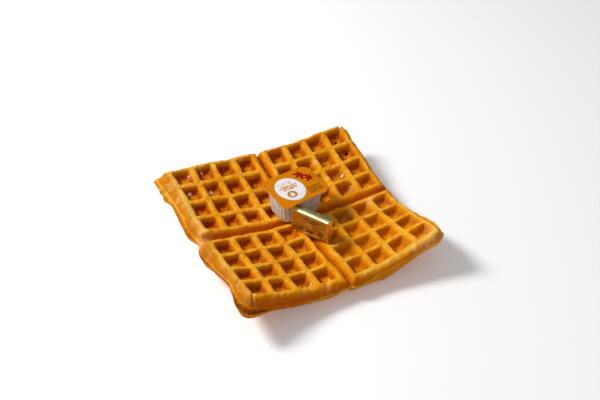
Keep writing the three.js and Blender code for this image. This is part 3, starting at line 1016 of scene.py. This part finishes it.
shine = 0.60 - 0.1 * sunken - 0.14 * patches.between(0.55, 0.7)
relief = skin * 0.6 + grain * 0.25 - (0.2 - bubbles).between(0, 0.12) * 0.4
crust.set(
    Base_Color=colour, Roughness=shine, Normal=crust.bump(relief, 0.8 * MM),
    Specular_IOR_Level=SKIN_SHINE,
)
waffle.data.materials.append(crust.material)
print("crust nodes:", len(crust.nodes))

# %% [markdown]
# ## The tub: levels of a rounded rectangle
# A single portion of syrup comes in a small tub, pressed from thin milky plastic. Its walls are
# fluted, which stiffens them, and a flat flange round the mouth carries the lid. Seen from above,
# each level of the tub is a rounded rectangle, so a level is written as two sizes and a corner
# radius. The tub stands a little askew on the waffle, which one matrix says for all its pieces.

# %% The tub's sizes and its outline
TUB_PLACE = Vector((3.9, 13.8, 21.64)) * MM
TUB_TURN = math.radians(8.3)
TUB_TILT = math.radians(2)                # its back stands higher than its front
TUB_HEIGHT = 27.6 * MM
FLANGE = (52.8 * MM, 44.0 * MM, 8.8 * MM)           # size along x, size along y, corner radius
MOUTH = (45.4 * MM, 35.8 * MM, 7.5 * MM)
FOOT = (41.8 * MM, 28.8 * MM, 7.4 * MM)
FLANGE_THICK = 0.9 * MM
TUB_WALL = 0.8 * MM
FOOT_BEVEL = 1.6 * MM
FLUTES = 34
FLUTE_DEPTH = 0.75 * MM
FLUTE_POINTS = 8
SMALLEST_RADIUS = 1.2 * MM
UNDER_FLANGE = TUB_HEIGHT - FLANGE_THICK


def placed(place, turn, lean):
    """Leans a piece about its x axis, turns it about its z axis and sets it on its place."""
    turned = Matrix.Rotation(turn, 4, "Z") @ Matrix.Rotation(lean, 4, "X")
    return Matrix.Translation(place) @ turned


def shrunk(outline, by):
    size_x, size_y, radius = outline
    return size_x - 2 * by, size_y - 2 * by, max(radius - by, SMALLEST_RADIUS)


def tub_level(z):
    """The outline of the tub's leaning wall at a height above its foot."""
    share = z / UNDER_FLANGE
    return tuple(low + (high - low) * share for low, high in zip(FOOT, MOUTH))


def outline_point(outline, share):
    """A point of a rounded rectangle, a share of the way round from the middle of its +X side."""
    size_x, size_y, radius = outline
    quarter = int(share * 4) % 4
    straight_y, straight_x = size_y / 2 - radius, size_x / 2 - radius
    length = straight_y + straight_x + radius * math.pi / 2
    along = (share * 4 % 1) * length
    if quarter % 2:
        along = length - along
    turn = min(max((along - straight_y) / radius, 0), math.pi / 2)
    x = min(straight_x, length - along) + radius * math.cos(turn)
    y = min(straight_y, along) + radius * math.sin(turn)
    way_x, way_y = ((1, 1), (-1, 1), (-1, -1), (1, -1))[quarter]
    return Vector((x * way_x, y * way_y, 0))


tub_matrix = placed(TUB_PLACE, TUB_TURN, TUB_TILT)
print("half way round the mouth:", outline_point(MOUTH, 0.5))

# %% [markdown]
# One loop, made by `create_circle`, is laid along the lowest level. `extrude_edge_only` then draws
# it on from level to level: up the outside, over the flange and down the inside, so that the wall
# has a real thickness. Each flute is a shallow wave that pulls the wall in. How deep in a flute a
# point lies is kept on the mesh as `hollow`, because the plastic is clearer there.

# %% Draw a loop through levels
def lay_loop(loop, around, hollow, outline, z, fluted):
    for corner in loop:
        share = corner[around]
        corner[hollow] = fluted / 2 * (1 - math.cos(2 * math.pi * FLUTES * share))
        pulled_in = shrunk(outline, FLUTE_DEPTH * corner[hollow])
        corner.co = outline_point(pulled_in, share) + Vector((0, 0, z))


def drawn_through(levels, count):
    """A closed form whose skin runs through levels: outline, height and how fluted it is."""
    form = bmesh.new()
    around, hollow = [form.verts.layers.float.new(name) for name in ("around", "hollow")]
    bmesh.ops.create_circle(form, cap_ends=True, segments=count, radius=1)
    for number, corner in enumerate(form.verts):
        corner[around] = number / count
    lay_loop(form.verts, around, hollow, *levels[0])
    for level in levels[1:]:
        lay_loop(new_row(form, open_edges(form)), around, hollow, *level)
    bmesh.ops.edgeloop_fill(form, edges=open_edges(form))
    bmesh.ops.recalc_face_normals(form, faces=form.faces)
    return form


print("points in a fluted loop:", FLUTES * FLUTE_POINTS)

# %% Form the tub
WALL_STEPS = 7
LOOP_POINTS = FLUTES * FLUTE_POINTS
SOFT = 0.3 * MM                           # how far the flange's edges are rounded
FILLET = 1.6 * MM                         # where the wall turns out into the flange


def wall_heights(top):
    """Even steps up the leaning wall, from its bevelled foot to a height."""
    return [FOOT_BEVEL + (top - FOOT_BEVEL) * step / WALL_STEPS for step in range(WALL_STEPS + 1)]


outer_wall = [
    (shrunk(FOOT, FOOT_BEVEL), 0, 0),
    (shrunk(FOOT, FOOT_BEVEL / 3), FOOT_BEVEL / 4, 0.5),
]
inner_wall = [(shrunk(FOOT, FOOT_BEVEL + TUB_WALL), TUB_WALL, 0)]
for z in wall_heights(UNDER_FLANGE - FILLET):
    outer_wall.append((tub_level(z), z, 1))
    inner_wall.append((shrunk(tub_level(z), TUB_WALL), z + TUB_WALL / 2, 1))
flange = [
    (MOUTH, UNDER_FLANGE - SOFT, 0.1),
    (shrunk(MOUTH, -2 * SOFT), UNDER_FLANGE, 0),
    (shrunk(FLANGE, SOFT), UNDER_FLANGE, 0),
    (FLANGE, UNDER_FLANGE + SOFT, 0),
    (FLANGE, TUB_HEIGHT - SOFT, 0),
    (shrunk(FLANGE, SOFT), TUB_HEIGHT, 0),
    (shrunk(MOUTH, TUB_WALL - SOFT), TUB_HEIGHT, 0),
    (shrunk(MOUTH, TUB_WALL), TUB_HEIGHT - SOFT, 0),
]
tub_form = drawn_through(outer_wall + flange + inner_wall[::-1], LOOP_POINTS)
bmesh.ops.transform(tub_form, matrix=tub_matrix, verts=tub_form.verts)
tub = new_object("fluted_tub", tub_form, "syrup_cup")
print("tub:", len(tub.data.polygons), "faces")

# %% [markdown]
# The syrup fills the tub almost up to the flange. No air is left between liquid and plastic, so
# the syrup's skin is drawn inside the thickness of the wall, and it follows the same flutes.

# %% Pour the syrup
SYRUP_LEVEL = 0.86 * TUB_HEIGHT
SYRUP_INSIDE = TUB_WALL * 0.75            # how far its skin lies inside the tub's outer face

poured = [(shrunk(FOOT, FOOT_BEVEL + SYRUP_INSIDE), SYRUP_INSIDE, 0)]
for z in wall_heights(SYRUP_LEVEL):
    poured.append((shrunk(tub_level(z), SYRUP_INSIDE), z, 1))
syrup_form = drawn_through(poured, LOOP_POINTS)
bmesh.ops.transform(syrup_form, matrix=tub_matrix, verts=syrup_form.verts)
syrup = new_object("poured_syrup", syrup_form, "syrup")
print("syrup:", len(syrup.data.polygons), "faces")

# %% [markdown]
# ## The lid
# The lid is a sheet of printed laminate, sealed to the flange all round. It has the same rounded
# outline as the tub, so the same function draws its skin: up its edge, over a sealed band that the
# machine has pressed flat, and in over a middle that bulges a little. `poke` closes the top with a
# fan of triangles. Two corners are crumpled, and one of them sticks out as the tab to peel it off by.

# %% Cut and press the lid
LID_OVERHANG = 0.4 * MM
LID_GAP = 0.3 * MM
LID_POINTS = 160
LID_RINGS = (         # mm: how far each ring lies inside the edge, and its height
    (0, 0), (0, 0.3), (0.25, 0.46), (0.8, 0.52), (2.0, 0.52), (3.2, 0.5), (3.7, 0.36), (4.3, 0.36),
    (4.9, 0.54), (6.5, 0.62), (9, 0.7), (12, 0.76), (15, 0.8), (18, 0.82), (20.5, 0.82),
)
PINCHES = (           # mm: x, y, size and depth of a crumpled corner; how far it sticks out; its size
    (-22.5, -19.5, 3.4, 0.5, -2.4, -2.6, 7), (-25.5, 20.5, 2.2, -0.9, -0.9, 0.9, 4),
)
PINCH_WAVE = 2.1 * MM
PINCH_FOLDS = 0.4                         # how much of a crumpled corner's depth is folds
LID_WAVE = 0.14 * MM
LID_WAVE_SIZE = 9 * MM

lid_outline = shrunk(FLANGE, -LID_OVERHANG)
lid_levels = [(shrunk(lid_outline, by * MM), z * MM, 0) for by, z in LID_RINGS]
lid_form = drawn_through(lid_levels, LID_POINTS)
bmesh.ops.poke(lid_form, faces=ngons(lid_form))
for corner in lid_form.verts:
    folds = math.sin((corner.co.x - corner.co.y) / PINCH_WAVE)
    folded = 1 - PINCH_FOLDS + PINCH_FOLDS * folds
    move = Vector((0, 0, LID_WAVE * noise.noise(corner.co / LID_WAVE_SIZE)))
    for x, y, size, sunk, out_x, out_y, tab_size in PINCHES:
        away = math.hypot(corner.co.x / MM - x, corner.co.y / MM - y)
        move.z -= sunk * MM * math.exp(-((away / size) ** 2)) * folded
        move += Vector((out_x, out_y, 0)) * MM * math.exp(-((away / tab_size) ** 2))
    corner.co += move
bmesh.ops.translate(lid_form, verts=lid_form.verts, vec=(0, 0, TUB_HEIGHT + LID_GAP))
bmesh.ops.transform(lid_form, matrix=tub_matrix, verts=lid_form.verts)
lid = new_object("printed_lid", lid_form, "cup_lid")
print("lid:", len(lid.data.polygons), "faces")

# %% [markdown]
# ## The pat of butter
# The butter is a flat block in gold foil, which stands on its long narrow side. Its edges are soft,
# because butter is. The block starts as a cube, scaled to size. `bevel` rounds its edges, the top
# front one most, and `subdivide_edges` gives it points enough to press the foil's folds into.

# %% Block out the butter
PAT = Vector((41.2, 9.2, 24.2)) * MM
PAT_PLACE = Vector((2.2, -25.8, 33.44)) * MM
PAT_TURN = math.radians(-60.4)
PAT_LEAN = math.radians(-2.4)
PAT_EDGE = 0.8 * MM
PAT_TOP_EDGE = 1.4 * MM
PAT_TOP_BACK = 0.9 * MM                   # how much further the slope reaches back on the top
PAT_SHARP = math.radians(20)              # an edge that bends more than this is rounded
PAT_SPLIT = 0.75 * MM

pat_form = bmesh.new()
bmesh.ops.create_cube(pat_form, size=1)
bmesh.ops.scale(pat_form, verts=pat_form.verts, vec=PAT)
top_front = [e for e in pat_form.edges if all(v.co.z > 0 > v.co.y for v in e.verts)]
bmesh.ops.bevel(
    pat_form, geom=top_front, offset=PAT_TOP_EDGE, offset_type="OFFSET", affect="EDGES",
    segments=1, profile=0.5, material=-1,
)
slope_back = [v for v in pat_form.verts if v.co.z > PAT.z / 2 - TINY and v.co.y < 0]
bmesh.ops.translate(pat_form, verts=slope_back, vec=(0, PAT_TOP_BACK, 0))
sharp_edges = [e for e in pat_form.edges if e.calc_face_angle(0) > PAT_SHARP]
bmesh.ops.bevel(
    pat_form, geom=sharp_edges, offset=PAT_EDGE, offset_type="OFFSET", affect="EDGES", segments=3,
    profile=0.5, material=-1,
)
bmesh.ops.triangulate(pat_form, faces=ngons(pat_form))
rounds = 0
while split_long_edges(pat_form, PAT_SPLIT):
    rounds += 1
pat = new_object("foil_wrapped_pat", pat_form, "butter_pat")
print("pat:", len(pat.data.polygons), "faces after", rounds, "rounds")

# %% [markdown]
# The foil is wrapped like paper round a parcel. Its long seam lies on the back, and at both ends
# two slanting flaps are folded over each other. A fold is a step of a few tenths of a millimetre,
# so it is a smooth ramp in how far the points stand out. Fine ridged noise crumples all of it.

# %% Fold and crumple the foil
FLAP = 0.28 * MM
FLAP_SLOPE = 2.6                          # a flap's edge falls this many times as far as it goes in
FLAP_WIDTH = 0.5 * MM
SEAM_HEIGHT = 3.5 * MM
FACE_START = 1 * MM                       # how far below a face its folds begin
END_FULL = 0.3 * MM                       # and how far below it they are whole, at the ends
SIDE_FULL = 0.2 * MM                      # and on the broad sides
CRUMPLES = ((7 * MM, 0.22 * MM), (3 * MM, 0.12 * MM), (1.3 * MM, 0.045 * MM))
SMOOTHED = 0.55                           # a thumb has run along the top front edge
THUMB_DOWN = (3.5 * MM, 1 * MM)           # below the top: where it starts, where it is full
THUMB_FRONT = (-1.5 * MM, 0.5 * MM)       # in front of the middle: the same
SAG = 0.35 * MM                           # how far the broad faces are hollow

pat_flat = rows_of(pat.data.vertices, "co")
along, back, up = pat_flat.T
half_long, half_thick, half_high = PAT / 2
pat_points = pat_flat.copy()
at_end = ramp(np.abs(along), half_long - FACE_START, half_long - END_FULL)
at_back, at_front = [
    ramp(way * back, half_thick - FACE_START, half_thick - SIDE_FULL) for way in (1, -1)
]
from_side = half_thick - np.abs(back)
top_flap, low_flap = [
    ramp(half_high - way * up - FLAP_SLOPE * from_side, FLAP_WIDTH, 0) for way in (1, -1)
]
pat_points[:, 0] += np.sign(along) * at_end * FLAP * (top_flap + low_flap - 1)
pat_points[:, 1] += at_back * FLAP * (ramp(up, SEAM_HEIGHT + FLAP_WIDTH, SEAM_HEIGHT) - 1)
dished = np.clip(1 - (along / half_long) ** 2, 0, 1) * np.clip(1 - (up / half_high) ** 2, 0, 1)
pat_points[:, 1] += (at_front - at_back) * SAG * dished
thumb_start, thumb_full = [half_high - down_by for down_by in THUMB_DOWN]
smooth_edge = ramp(up, thumb_start, thumb_full) * ramp(-back, *THUMB_FRONT)
for axis, shift in enumerate(SHIFTS["foil"]):
    for size, amount in CRUMPLES:
        ridges = 1 - 2 * np.abs(rough(pat_flat, size, shift))
        sunk = amount * ridges.clip(0, 1) ** 2 * (1 - SMOOTHED * smooth_edge)
        pat_points[:, axis] -= np.sign(pat_flat[:, axis]) * sunk
put_points(pat, pat_points)
pat.data.transform(placed(PAT_PLACE, PAT_TURN, PAT_LEAN))
print("pat, lowest:", round(min(v.co.z for v in pat.data.vertices), 5), "m")

# %% [markdown]
# ## The tub's plastic and the syrup
# The tub's polypropylene is milky: it scatters light and lets only some of the syrup's brown
# through. Alpha says how much is let through. The wall is thinner in the flutes' hollows, and less
# milky there, so `lay_loop` has kept how deep in a hollow each point lies.

# %% Mix the plastic and the syrup
MILKY = (0.62, 0.62, 0.61)
MILKY_PALE = (0.82, 0.84, 0.84)
SYRUP_BROWN = (0.16, 0.045, 0.008)
SYRUP_DARK = (0.06, 0.014, 0.003)
TUB_ANGLES = (TUB_TILT, 0, TUB_TURN)

plastic = Finish("milky_plastic")
on_tub = plastic.place(TUB_PLACE, TUB_ANGLES)
tub_z = plastic.node("ShaderNodeSeparateXYZ", None, {"Vector": on_tub}, "Z") / TUB_HEIGHT
haze = plastic.cloud(on_tub, 6 * MM, detail=3)
hollows = plastic.attribute("hollow").between(0.2, 0.8)
on_flange = tub_z.between(0.955, 0.97)
milky = plastic.mix(haze.between(0.35, 0.7) * 0.7, MILKY, MILKY_PALE)
plastic.set(
    Base_Color=plastic.mix(on_flange, milky, MILKY_PALE),
    Roughness=0.34 + 0.12 * haze,
    Alpha=(0.96 + 0.04 * haze + 0.15 * on_flange - 0.16 * hollows).least(1.0),
)
tub.data.materials.append(plastic.material)

molasses = Finish("brown_syrup")
in_syrup = molasses.place(TUB_PLACE, TUB_ANGLES)
thick = molasses.cloud(in_syrup, 12 * MM, detail=2)
molasses.set(
    Base_Color=molasses.mix(thick.between(0.35, 0.65), SYRUP_DARK, SYRUP_BROWN),
    Roughness=0.12 + 0.06 * molasses.cloud(in_syrup, 3 * MM),
)
syrup.data.materials.append(molasses.material)
print("plastic nodes:", len(plastic.nodes))

# %% [markdown]
# ## The lid's print
# The lid is printed in flat inks on an orange ground: a white oval with a plain drop on a disc and
# some bars, two red leaves, and a block of small brown dashes. Each shape is a mask, worked out
# from the lid's own x and y with the plain geometry of circles and bands.

# %% Shapes that masks are made of
OVAL_BLEED = 0.02                         # of its size: how softly the ink of an oval ends
BOX_BLEED = 0.12                          # mm, and so is the next
LEAF_BLEED = 0.15
SIDE_BLADES = ((48, 0.85), (-48, 0.85), (96, 0.55), (-96, 0.55))      # degrees, share of the size


class Sheet:
    """Masks of flat shapes on a finish, from two coordinates in millimetres."""
    def __init__(self, x, y):
        self.x = x
        self.y = y

    def at(self, middle_x, middle_y, degrees=0.0):
        """The same sheet, seen from another middle and turn."""
        cos, sin = math.cos(math.radians(degrees)), math.sin(math.radians(degrees))
        dx, dy = self.x - middle_x, self.y - middle_y
        return Sheet(dx * cos + dy * sin, dy * cos - dx * sin)

    def oval(self, half_x, half_y):
        away = ((self.x / half_x) ** 2 + (self.y / half_y) ** 2) ** 0.5
        return (1 - away).between(-OVAL_BLEED, OVAL_BLEED)

    def box(self, half_x, half_y):
        over = (abs(self.x) - half_x).most(abs(self.y) - half_y)
        return (0 - over).between(-BOX_BLEED, BOX_BLEED)

    def blade(self, half_x, half_y):
        """A pointed leaf: two shallow curves that meet at both ends."""
        width = (1 - (self.x / half_x) ** 2) * half_y
        return (width - abs(self.y)).between(0, LEAF_BLEED)

    def drop(self, width, height):
        """Pointed above and round below: its half width grows fast and shrinks slowly."""
        share = (self.y / height + 0.5).between(0, 1)
        half = share ** 0.5 * (1 - share) * (width * 1.3)
        return (half - abs(self.x)).between(0, LEAF_BLEED)

    def leaf(self, size):
        """Five blades that spread from one stalk."""
        whole = self.blade(size, size * 0.34)
        for degrees, share in SIDE_BLADES:
            turn = math.radians(degrees)
            reach = size * share * 0.9
            middle = (reach * math.cos(turn) - size * 0.45, reach * math.sin(turn))
            whole = whole.most(self.at(*middle, degrees).blade(size * share, size * share * 0.36))
        return whole


print("a leaf's blades:", 1 + len(SIDE_BLADES))

# %% Choose the inks and places of the print
INK_ORANGE = (0.64, 0.195, 0.0005)
INK_SHADE = (0.58, 0.17, 0.0005)
INK_WHITE = (0.80, 0.79, 0.78)
INK_OUTLINE = (0.33, 0.17, 0.02)
INK_GREY = (0.22, 0.22, 0.25)
INK_BROWN = (0.15, 0.045, 0.004)
INK_RED = (0.35, 0.008, 0.004)
INK_DARK = (0.05, 0.01, 0.004)
INK_PINK = (0.78, 0.42, 0.27)
INK_SAND = (0.62, 0.50, 0.36)
OVAL = (13.8, 17.0)                       # mm: half sizes
LABEL = (-6.7, -1.3)
BARS = (          # mm on the label: x, y, half width, half height, ink
    (-1.5, 9.8, 8.2, 0.9, INK_PINK), (-0.5, 7.2, 6.0, 0.5, INK_GREY),
    (0.0, 4.0, 9.6, 1.3, INK_ORANGE), (0.6, 0.6, 8.0, 1.3, INK_ORANGE),
    (4.5, -10.6, 6.0, 0.6, INK_SAND),
)
OUTLINE = 0.5                             # mm: how far a dark edge shows round a shape
BAR_CELL = (0.9 * MM, 3 * MM, MM)         # the noise that breaks the bars up, narrow and tall
DISC = (-2.5, -7.4)                       # mm on the label
DISC_RADII = (4.9, 4.4)
DROP = (4.2, 6.0)                         # mm: width, height
BLOCK = (14.5, -12.5)
BLOCK_HALF = (7.6, 4.9)
ROW_PITCH = 1.9                           # mm from one row of dashes to the next
DASH_CELL = (0.7 * MM, ROW_PITCH * MM, MM)
LINE, LINE_HALF = (24.0, 2.0), (0.3, 8.0)
LEAVES = ((12.0, 11.5, 200, 5.2), (17.5, 4.2, 160, 4.6))      # mm: x, y; degrees; size
LAMINATE_SHINE = 0.04
print("bars:", len(BARS), "leaves:", len(LEAVES))

# %% Print the lid
laminate = Finish("printed_laminate")
on_lid = laminate.place(TUB_PLACE, TUB_ANGLES, (MM, MM, MM))
lid_x, lid_y = [
    laminate.node("ShaderNodeSeparateXYZ", None, {"Vector": on_lid}, axis) for axis in "XY"
]
sheet = Sheet(lid_x, lid_y)
label = sheet.at(*LABEL)
disc = label.at(*DISC)
bar_cells = laminate.place(TUB_PLACE, TUB_ANGLES, BAR_CELL)
gaps = laminate.cloud(bar_cells, 1.0, detail=0).between(0.40, 0.44)
prints = [
    (label.oval(OVAL[0] + OUTLINE, OVAL[1] + OUTLINE), INK_OUTLINE),
    (label.oval(*OVAL), INK_WHITE),
]
for x, y, half_width, half_height, ink in BARS:
    prints.append((label.at(x, y).box(half_width, half_height) * gaps, ink))
for radius, ink in zip(DISC_RADII, (INK_GREY, INK_ORANGE)):
    prints.append((disc.oval(radius, radius), ink))
prints.append((disc.drop(*DROP), INK_WHITE))
rows = (0.28 - abs((lid_y / ROW_PITCH + 20).part() - 0.5)).between(-0.06, 0.06)
dash_cells = laminate.place(TUB_PLACE, TUB_ANGLES, DASH_CELL)
dashes = laminate.cloud(dash_cells, 1.0, detail=1).between(0.36, 0.44)
prints.append((sheet.at(*BLOCK).box(*BLOCK_HALF) * rows * dashes, INK_BROWN))
prints.append((sheet.at(*LINE).box(*LINE_HALF), INK_BROWN))
for x, y, degrees, size in LEAVES:
    leaf = sheet.at(x, y, degrees)
    prints += [(leaf.leaf(size + OUTLINE), INK_DARK), (leaf.leaf(size), INK_RED)]
mottle = laminate.cloud(on_lid, 5.0, detail=3)
laminate.set(
    Base_Color=laminate.layers(INK_ORANGE, (mottle * 0.4, INK_SHADE), *prints),
    Roughness=0.6 + 0.1 * mottle,
    Normal=laminate.bump(laminate.cloud(on_lid, 2.5, detail=3), 0.08 * MM, 0.5),
    Specular_IOR_Level=LAMINATE_SHINE,
)
lid.data.materials.append(laminate.material)
print("lid nodes:", len(laminate.nodes))

# %% [markdown]
# ## The foil
# Gold foil is aluminium under a yellow lacquer, so it is a metal whose colour is gold. It shows what it
# mirrors, and fine crinkles break that up. The lacquer is clear on top, which is a coat: it gives the
# brightest spots their white. A painted highlight whitens the top front edge further, and painted shade
# darkens the back of the top. The print on the front is a darker lacquer.

# %% Mix the foil
FOIL_GOLD = (0.86, 0.66, 0.18)
FOIL_DEEP = (0.60, 0.42, 0.09)
FOIL_HIGHLIGHT_WHITE = (0.97, 0.92, 0.70)
FOIL_SHADE = (0.34, 0.27, 0.09)
FOIL_PRINT = (0.035, 0.016, 0.006)
PAT_ANGLES = (PAT_LEAN, 0, PAT_TURN)
PAT_BARS = (      # mm on the front: x, height, half width, half height
    (-4.0, -6.9, 9.0, 1.8), (-3.0, -3.4, 5.0, 0.6), (0.8, 5.6, 8.0, 1.4), (0.8, 2.9, 6.0, 0.7),
)
STAMP_CELL = (0.9 * MM, MM, 3 * MM)
RING = (0.8, 4.2)                         # mm on the front: x, height
RING_OUTER, RING_INNER = (12.2, 5.2), (11.5, 4.5)
SPOT, SPOT_OUTER, SPOT_INNER = (12.6, -5.6), (2.8, 2.8), (1.2, 1.0)
LACQUER, LACQUER_ROUGHNESS = 1.0, 0.06

foil = Finish("gold_foil")
on_pat = foil.place(PAT_PLACE, PAT_ANGLES, (MM, MM, MM))
pat_x, pat_y, pat_z = [
    foil.node("ShaderNodeSeparateXYZ", None, {"Vector": on_pat}, axis) for axis in "XYZ"
]
on_front = (0 - pat_y).between(3.2, 3.6)
front_sheet = Sheet(pat_x, pat_z)
ring = front_sheet.at(*RING)
spot = front_sheet.at(*SPOT)
stamped = ring.oval(*RING_OUTER) * (1 - ring.oval(*RING_INNER)) * 0.8
stamped = stamped.most(spot.oval(*SPOT_OUTER) * (1 - spot.oval(*SPOT_INNER) * 0.6))
stamp_cells = foil.place(PAT_PLACE, PAT_ANGLES, STAMP_CELL)
broken = foil.cloud(stamp_cells, 1.0, detail=0).between(0.38, 0.44)
for x, z, half_width, half_height in PAT_BARS:
    stamped = stamped.most(front_sheet.at(x, z).box(half_width, half_height) * broken)
stamped = stamped * on_front
creased = foil.cloud(on_pat, 4.0, detail=4, rough=0.6, twist=0.6)
# painted highlight: a whiter strip along the top front edge
painted_edge_highlight = pat_z.between(10.2, 11.0) * (0 - pat_y).between(1.2, 2.0)
on_top = pat_z.between(10.6, 11.6) * pat_y.between(-1.0, 0.5)
foil.set(
    Base_Color=foil.layers(
        FOIL_GOLD,
        (creased.between(0.45, 0.7) * 0.6, FOIL_DEEP),
        (painted_edge_highlight * (0.2 + 0.8 * creased.between(0.42, 0.56)), FOIL_HIGHLIGHT_WHITE),
        (on_front * 0.3, FOIL_DEEP),
        (on_top * (0.35 + 0.65 * creased.between(0.4, 0.55)), FOIL_SHADE),
        (stamped, FOIL_PRINT),
    ),
    Metallic=1 - 0.8 * stamped,
    Roughness=0.30 + 0.12 * creased + 0.1 * stamped,
    Normal=foil.bump(foil.cloud(on_pat, 1.2, detail=4, twist=0.5), 0.1 * MM, 0.6),
    Coat_Weight=LACQUER, Coat_Roughness=LACQUER_ROUGHNESS,
)
pat.data.materials.append(foil.material)
print("foil nodes:", len(foil.nodes))

# %% [markdown]
